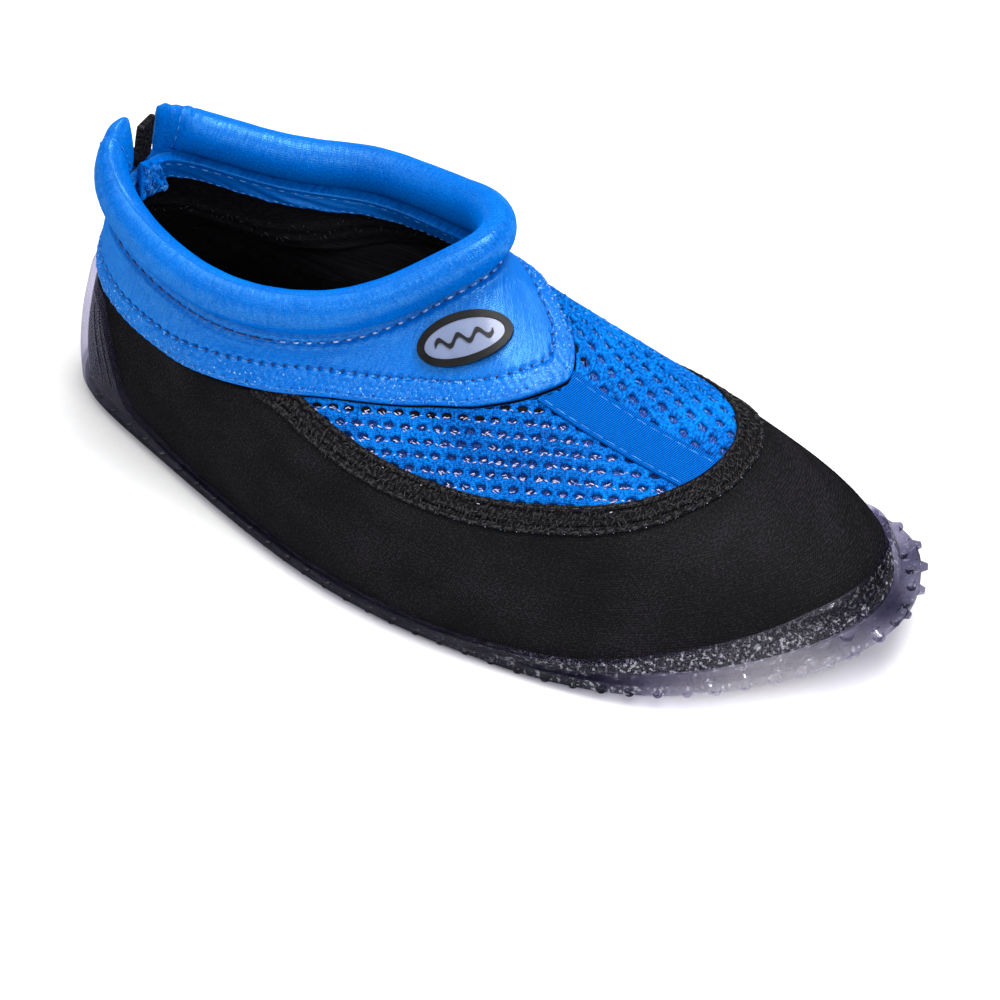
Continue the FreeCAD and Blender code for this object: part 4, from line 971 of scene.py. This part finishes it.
def make_heel_tape():
    """Black tape over the seam up the middle of the heel."""
    half = 5.0

    def place(u, v):
        low = CUP_TOP + 0.012
        high = band_edge(0.0) - 0.006
        w = low + v * (high - low)
        return (2 * u - 1) * half * per_mm(0.0, w, 0), w
    cover("heel_tape_webbing", patch(place, GAP, GAP + 0.7, 16, 14, 0.35), "black_webbing", "heel_tape")


def make_cup_ribs():
    """Two thin moulded ribs down the front edge of the heel cup on each side."""
    groups = []
    for side in (1.0, -1.0):
        for back in (0.003, 0.012):
            w = np.linspace(0.12, 0.47, 90)
            # the cup's edge leans forward as it drops
            t = side * (0.1005 + 0.0085 * ease(-w, -0.44, -0.10) - back)
            points = layer(t, w, 2.2)
            out = normal(t, w)
            groups.append(capsules(points[:-3], points[3:], out[:-3], 0.42, 0.0, 0.0, rings=5))
    sew("heel_cup_ribs", groups, SLOTS["clear_sole"])


# ---- the collar

ROLL_START, ROLL_END = 0.030, 0.970


def roll_frame(t):
    """Where the padded roll sits at t, its own directions and half its height."""
    seat = layer(t, 1.0, BAND_OUTER - 2.45)
    ahead = unit(slopes_of(t, 1.0)[0])
    out = flat_outward(ahead)
    up = np.cross(out, ahead)
    up = np.where(up[..., 2:] < 0, -up, up)
    lean = np.radians(steps(ROLL_LEAN, t))[..., None]
    tall = up * np.cos(lean) + out * np.sin(lean)
    wide = out * np.cos(lean) - up * np.sin(lean)
    half_high = 7.5 + steps(ROLL_EXTRA, t)
    return seat, up, tall, wide, half_high, ahead


def make_collar():
    """Padded collar, pinched shut at its two ends beside the heel notch."""
    t_line = np.concatenate([
        ROLL_START + (0.06 - ROLL_START) * np.linspace(0, 1, 26)[:-1] ** 1.5,
        np.linspace(0.06, 0.94, 380),
        ROLL_END - (ROLL_END - 0.94) * np.linspace(1, 0, 26)[1:] ** 1.5])
    seat, up, tall, wide, half_high, ahead = roll_frame(t_line)
    walked = run_length(seat, 0)
    from_end = np.minimum(walked, walked[-1] - walked)
    near = walked < 0.5 * walked[-1]
    # the far end is sewn flat; the near one is drawn up into a rounded ear
    half_wide = np.where(near, 3.9 + 1.85 * ease(from_end, 0.0, 14.0),
                         1.3 + 4.45 * ease(from_end, 0.0, 13.0))
    sides = 56
    angle = (np.arange(sides) * 2 * math.pi / sides)[None]
    # flatter where it sits on the band, fuller on the outside
    squash = 1 - 0.05 * bell(np.cos(angle), -1.0, 0.5)
    puff = (0.16 * ripple(walked[:, None], angle * 8.0, 27.0, 3.0)
            + 0.10 * ripple(walked[:, None], angle * 8.0, 9.0, 6.0))
    draw = (np.where(near, -0.12, -0.55) * bell(from_end, 6.0, 1.2))[:, None]
    gather = (np.where(near, 0.12, 0.35) * bell(from_end, 5.0, 6.0))[:, None]
    gather = gather * np.sin(walked[:, None] * 1.9 + 2.0 * np.sin(angle))
    grow = puff + draw + gather
    rounding = np.where(near, 4.5, 1.2)
    close = np.sqrt(np.clip(1 - (1 - np.clip(from_end / rounding, 0, 1)) ** 2, 0.0, 1))[:, None]
    high = (half_high[:, None] * squash + grow - (1 - close) * rounding[:, None]) * np.cos(angle)
    broad = (half_wide[:, None] + grow * 0.6) * np.maximum(close, 0.02) * np.sin(angle)
    centre = seat + up * 0.45 + tall * half_high[:, None]
    points = centre[:, None] + tall[:, None] * high[..., None] + wide[:, None] * broad[..., None]
    built = tube(points, walked[:, None], angle * 6.6)
    made = cover("collar_roll_cover", built, "blue_neoprene", "collar_roll", "collar_foam")
    groups = []
    for at_end in (6.0, walked[-1] - 6.0):
        row = int(np.argmin(np.abs(walked - at_end)))
        ring = np.roll(points[row], 5, axis=0)
        ring = np.vstack([ring, ring[:1]])
        length = run_length(ring, 0)
        at = np.arange(0.5, length[-1] - 1.0, 3.4)
        starts = between(at, length, ring)
        ends = between(at + 2.3, length, ring)
        out = unit((starts + ends) / 2 - centre[row])
        out = unit(out - ahead[row] * dot(out, ahead[row])[:, None])
        groups.append(capsules(starts, ends, out, 0.2, 0.3, 0.1))
    sew("collar_end_threads", groups, BLUE_THREAD)


# ---- heel, loop, inside


def bent_strip(line, half_width, thick):
    """Flat webbing along a line of points in the heel's middle plane."""
    side = np.array([1.0, 0.0, 0.0])
    walked = run_length(line, 0)
    at = np.linspace(0, walked[-1], len(line) * 6)
    path = between(at, walked, line)
    for _ in range(8):
        path[1:-1] = (path[:-2] + 2 * path[1:-1] + path[2:]) / 4
    ahead = unit(np.gradient(path, axis=0))
    out = unit(np.cross(side, ahead))
    across = np.linspace(-1, 1, 24)
    corner = np.clip((np.abs(across) * half_width - (half_width - thick / 2)) / (thick / 2), 0, 1)
    edge = np.sqrt(1 - corner ** 2) * thick / 2
    x = np.concatenate([across, across[-2:0:-1]]) * half_width
    z = np.concatenate([edge, -edge[-2:0:-1]])
    points = path[:, None] + side * x[None, :, None] + out[:, None] * z[None, :, None]
    return tube(points, x[None], at[:, None], inward=True)


def make_gusset():
    """Black elastic between the two ends of the collar."""
    top = surface(0.0, 1.0) + (0.85, 0, 0)
    line = top + np.array([(0, 1.25, 1.6), (0, 2.15, 7.0), (0, 2.85, 12.5), (0, 3.65, 17.0)])
    cover("heel_gusset_elastic", bent_strip(line, 4.2, 2.0), "black_webbing", "heel_gusset")


def make_notch_gather():
    """Spare cloth of the cover, gathered and oversewn inside the heel notch."""
    rows = 60
    u, v = np.meshgrid(np.linspace(-1, 1, rows), np.linspace(-1, 1, rows), indexing="ij")
    top = surface(0.0, 1.0)
    x = 2.6 + 5.6 * u * (1 - 0.25 * v)
    z = -2.6 + 6.2 * v + 2.4 * u
    folds = (0.9 * np.sin(x * 1.5 + 1.3 * np.sin(z * 0.7)) + 0.6 * ripple(x, z, 3.2, 2.0)
             + 0.35 * ripple(x, z, 1.5, 5.0))
    rim = np.maximum(np.abs(u), np.abs(v))
    thick = 1.3 * np.sqrt(np.clip(1 - rim ** 4, 0, 1))
    y = 5.4 - 0.10 * (z + 4.0) + 0.8 * u * u + folds * (1 - rim ** 6)
    front = top + np.stack([x, y + thick, z], -1)
    back = top + np.stack([x, y - thick, z], -1)
    points, faces, cloth = closed_sheet(front, back, np.stack([x, z], -1))
    cover("heel_notch_gather", (points, faces[:, ::-1], cloth), "blue_neoprene")
    count = 46
    pick = RANDOM.integers(6, rows - 6, (count, 2))
    where = front[pick[:, 0], pick[:, 1]]
    angle = RANDOM.normal(0.0, 0.7, (count, 1)) + math.pi / 2
    run = np.concatenate([np.cos(angle), 0 * angle, np.sin(angle)], 1)
    run = run * RANDOM.uniform(0.6, 1.5, (count, 1))
    out = np.tile((0.0, 1.0, 0.0), (count, 1))
    sew("heel_notch_threads", [capsules(where - run, where + run, out, 0.16, 0.3, 0.2)], BLUE_THREAD)


def loop_root():
    """The sewn end of the pull loop and the lean of the heel there."""
    place = surface(0.0, 0.965)
    below = surface(0.0, 0.66)
    root = place + normal(0.0, 0.965) * (BAND_OUTER + 2.35)
    run = place - below
    return root, -math.atan2(run[1], run[2])


def make_loop():
    """Folded black webbing pull loop; it turns about its sewn end."""
    root, lean = loop_root()
    ply, gap, length = 1.3, 1.2, 24.0
    middle = gap / 2 + ply / 2
    bend = gap / 2 + ply
    line = [(middle, 0.0), (middle, -6.0), (middle + 0.1, -12.0), (middle, -length + bend)]
    for k in range(1, 8):
        a = math.pi * k / 8
        line.append((middle * math.cos(a), -length + bend - middle * math.sin(a)))
    line += [(-middle, -length + bend), (-middle - 0.1, -12.0), (-middle, -6.0), (-middle, 0.0)]
    turn = np.array([[math.cos(lean), -math.sin(lean)], [math.sin(lean), math.cos(lean)]])
    yz = np.array(line) @ turn.T
    points_line = np.column_stack([np.zeros(len(yz)), yz]) + root
    cover("heel_loop_webbing", bent_strip(points_line, 5.0, ply), "black_webbing", "heel_loop",
          body="pull_loop")


def make_insole():
    """Insole with a dished knitted top and rounded edge."""
    bed = FLOOR_Z + 1.2 + GAP
    angles = np.linspace(0, 1, 160, endpoint=False)
    value, slope = around(angles)
    edge = value[:, 0:2] - flat_outward(slope[:, 0:2])[:, :2] * 2.0
    spine = np.stack([np.interp(edge[:, 1], [10, 60, 110, 170, 230, 268], [0, 4, 8, 11, 4, -2]),
                      np.clip(edge[:, 1], 28, 232)], -1)
    rings = [(1.0, 0.0), (1.0, 2.6), (0.995, 3.6), (0.98, 4.0), (0.93, 4.0), (0.8, 3.7), (0.55, 3.5),
             (0.3, 3.4), (0.1, 3.4)]
    plan = np.array([spine + (edge - spine) * share for share, _ in rings])
    rise = np.array([rise for _, rise in rings])[:, None]
    points = np.dstack([plan, bed + spring(plan[..., 1]) + rise])
    rows, columns = points.shape[:2]
    index = np.arange(rows * columns).reshape(rows, columns)
    faces = quads(index, wrap_columns=True)[:, ::-1].tolist()
    # quads across close the narrow slit left on top and the whole underside
    top, under = index[-1], index[0]
    for k in range(columns // 2 - 1):
        across = columns - 1 - k
        faces.append([top[k], top[k + 1], top[across - 1], top[across]])
        faces.append([under[k], under[across], under[across - 1], under[k + 1]])
    made = cover("insole_pad", (points.reshape(-1, 3), faces, plan.reshape(-1, 2)), "insole", "insole")


make_side_panel()
make_band()
make_ankle_lining()
make_facing()
make_vamp_lining()
lateral_painted_glints = make_mesh_glints("lateral", *make_mesh("lateral"))
medial_loops = make_mesh_glints("medial", *make_mesh("medial"))
# painted highlight: the outer side's loops are pale where they catch the light, the inner side's plain blue
sew("mesh_lateral_painted_glints", lateral_painted_glints, PAINTED_GLINT_THREAD)
sew("mesh_medial_loops", medial_loops, BLUE_THREAD)
make_strip()
make_vamp_tape()
make_heel_tape()
make_cup_ribs()
make_collar()
make_gusset()
make_notch_gather()
make_loop()
make_insole()

# ---- CAD pieces that stay

for node, slot in (("outsole", "clear_sole"), ("lasting_board", "board"), ("badge_base", "badge_rubber"),
                   ("badge_plate", "badge_grey"), ("badge_emblem", "badge_emblem")):
    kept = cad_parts[node]
    if not kept.material_slots:
        kept.data.materials.append(None)
    for material_slot in kept.material_slots:
        material_slot.link = "OBJECT"
        material_slot.material = SLOTS[slot]

# ---- floor, light, view

floor_data = bpy.data.meshes.new("studio_floor")
REACH = 3.0
floor_data.from_pydata([(-REACH, -REACH, 0), (REACH, -REACH, 0), (REACH, REACH, 0), (-REACH, REACH, 0)],
                       [], [(0, 1, 2, 3)])
floor = bpy.data.objects.new("studio_floor", floor_data)
bpy.context.scene.collection.objects.link(floor)
shade = Shade("floor_white")
paper = shade.noise(shade.node("TexCoord").outputs["Object"], 300.0, 2.0)
paper_tint = shade.ramp(paper, (0.3, (0.81, 0.81, 0.81)), (0.7, (0.83, 0.83, 0.83)))
floor_data.materials.append(shade.finish(shade.node("BsdfDiffuse", None, Color=paper_tint)))

# the room is bright overhead and dim round the sides, like a light tent
world = bpy.data.worlds.new("studio")
world.use_nodes = True
sky = world.node_tree
sky_up = sky.nodes.new("ShaderNodeSeparateXYZ")
sky_tone = sky.nodes.new("ShaderNodeMapRange")
sky.links.new(sky.nodes.new("ShaderNodeTexCoord").outputs["Generated"], sky_up.inputs[0])
sky.links.new(sky_up.outputs["Z"], sky_tone.inputs["Value"])
for key, value in (("From Min", -0.1), ("From Max", 0.9), ("To Min", 0.15), ("To Max", 1.0)):
    sky_tone.inputs[key].default_value = value
sky.links.new(sky_tone.outputs[0], sky.nodes["Background"].inputs["Strength"])
sky.nodes["Background"].inputs[0].default_value = (1.0, 1.0, 1.0, 1.0)
bpy.context.scene.world = world

VIEW_BACK = Vector((0.63617591, 0.37816926, 0.67250891))
VIEW_RIGHT = Vector((-0.51514173, 0.85708833, 0.00534759))
VIEW_UP = Vector((-0.57437724, -0.34983941, 0.74006971))
VIEW_TARGET = Vector((-0.0086, -0.0014, 0.035))
VIEW_DISTANCE = 1.6246
SENSOR = 36.0
LENS = 195.8688
# the camera looks a little right of and below the target, by these shares of its distance
AIM_RIGHT = 0.00253823
AIM_UP = -0.0156466
LIGHT_AIM = Vector((0, 0, 0.04))


def add_light(name, place, size, power):
    data = bpy.data.lights.new(name, "AREA")
    data.shape = "RECTANGLE"
    data.size, data.size_y = size
    data.energy = power
    lamp = bpy.data.objects.new(name, data)
    lamp.location = place
    lamp.rotation_euler = (LIGHT_AIM - Vector(place)).to_track_quat("-Z", "Y").to_euler()
    bpy.context.scene.collection.objects.link(lamp)


add_light("key", (-0.25, 0.35, 1.8), (1.1, 0.8), 26.0)
add_light("overhead", (0.1, -0.2, 2.4), (2.4, 2.4), 24.0)
add_light("front", (0.50, 1.25, 0.95), (0.14, 0.09), 4.2)
add_light("window", (1.30, 0.28, 0.95), (0.45, 0.45), 3.0)

camera_data = bpy.data.cameras.new("camera")
camera_data.sensor_width = SENSOR
camera_data.lens = LENS
camera_data.clip_start = 0.05
camera_data.clip_end = 20.0
camera = bpy.data.objects.new("camera", camera_data)
camera.location = VIEW_TARGET + VIEW_BACK * VIEW_DISTANCE
ahead = -VIEW_BACK + VIEW_RIGHT * AIM_RIGHT + VIEW_UP * AIM_UP
ahead.normalize()
right = ahead.cross(VIEW_UP).normalized()
up_axis = right.cross(ahead)
camera.rotation_mode = "QUATERNION"
camera.rotation_quaternion = Matrix((right, up_axis, -ahead)).transposed().to_quaternion()
bpy.context.scene.collection.objects.link(camera)
bpy.context.scene.camera = camera
bpy.context.scene.view_settings.view_transform = "Standard"
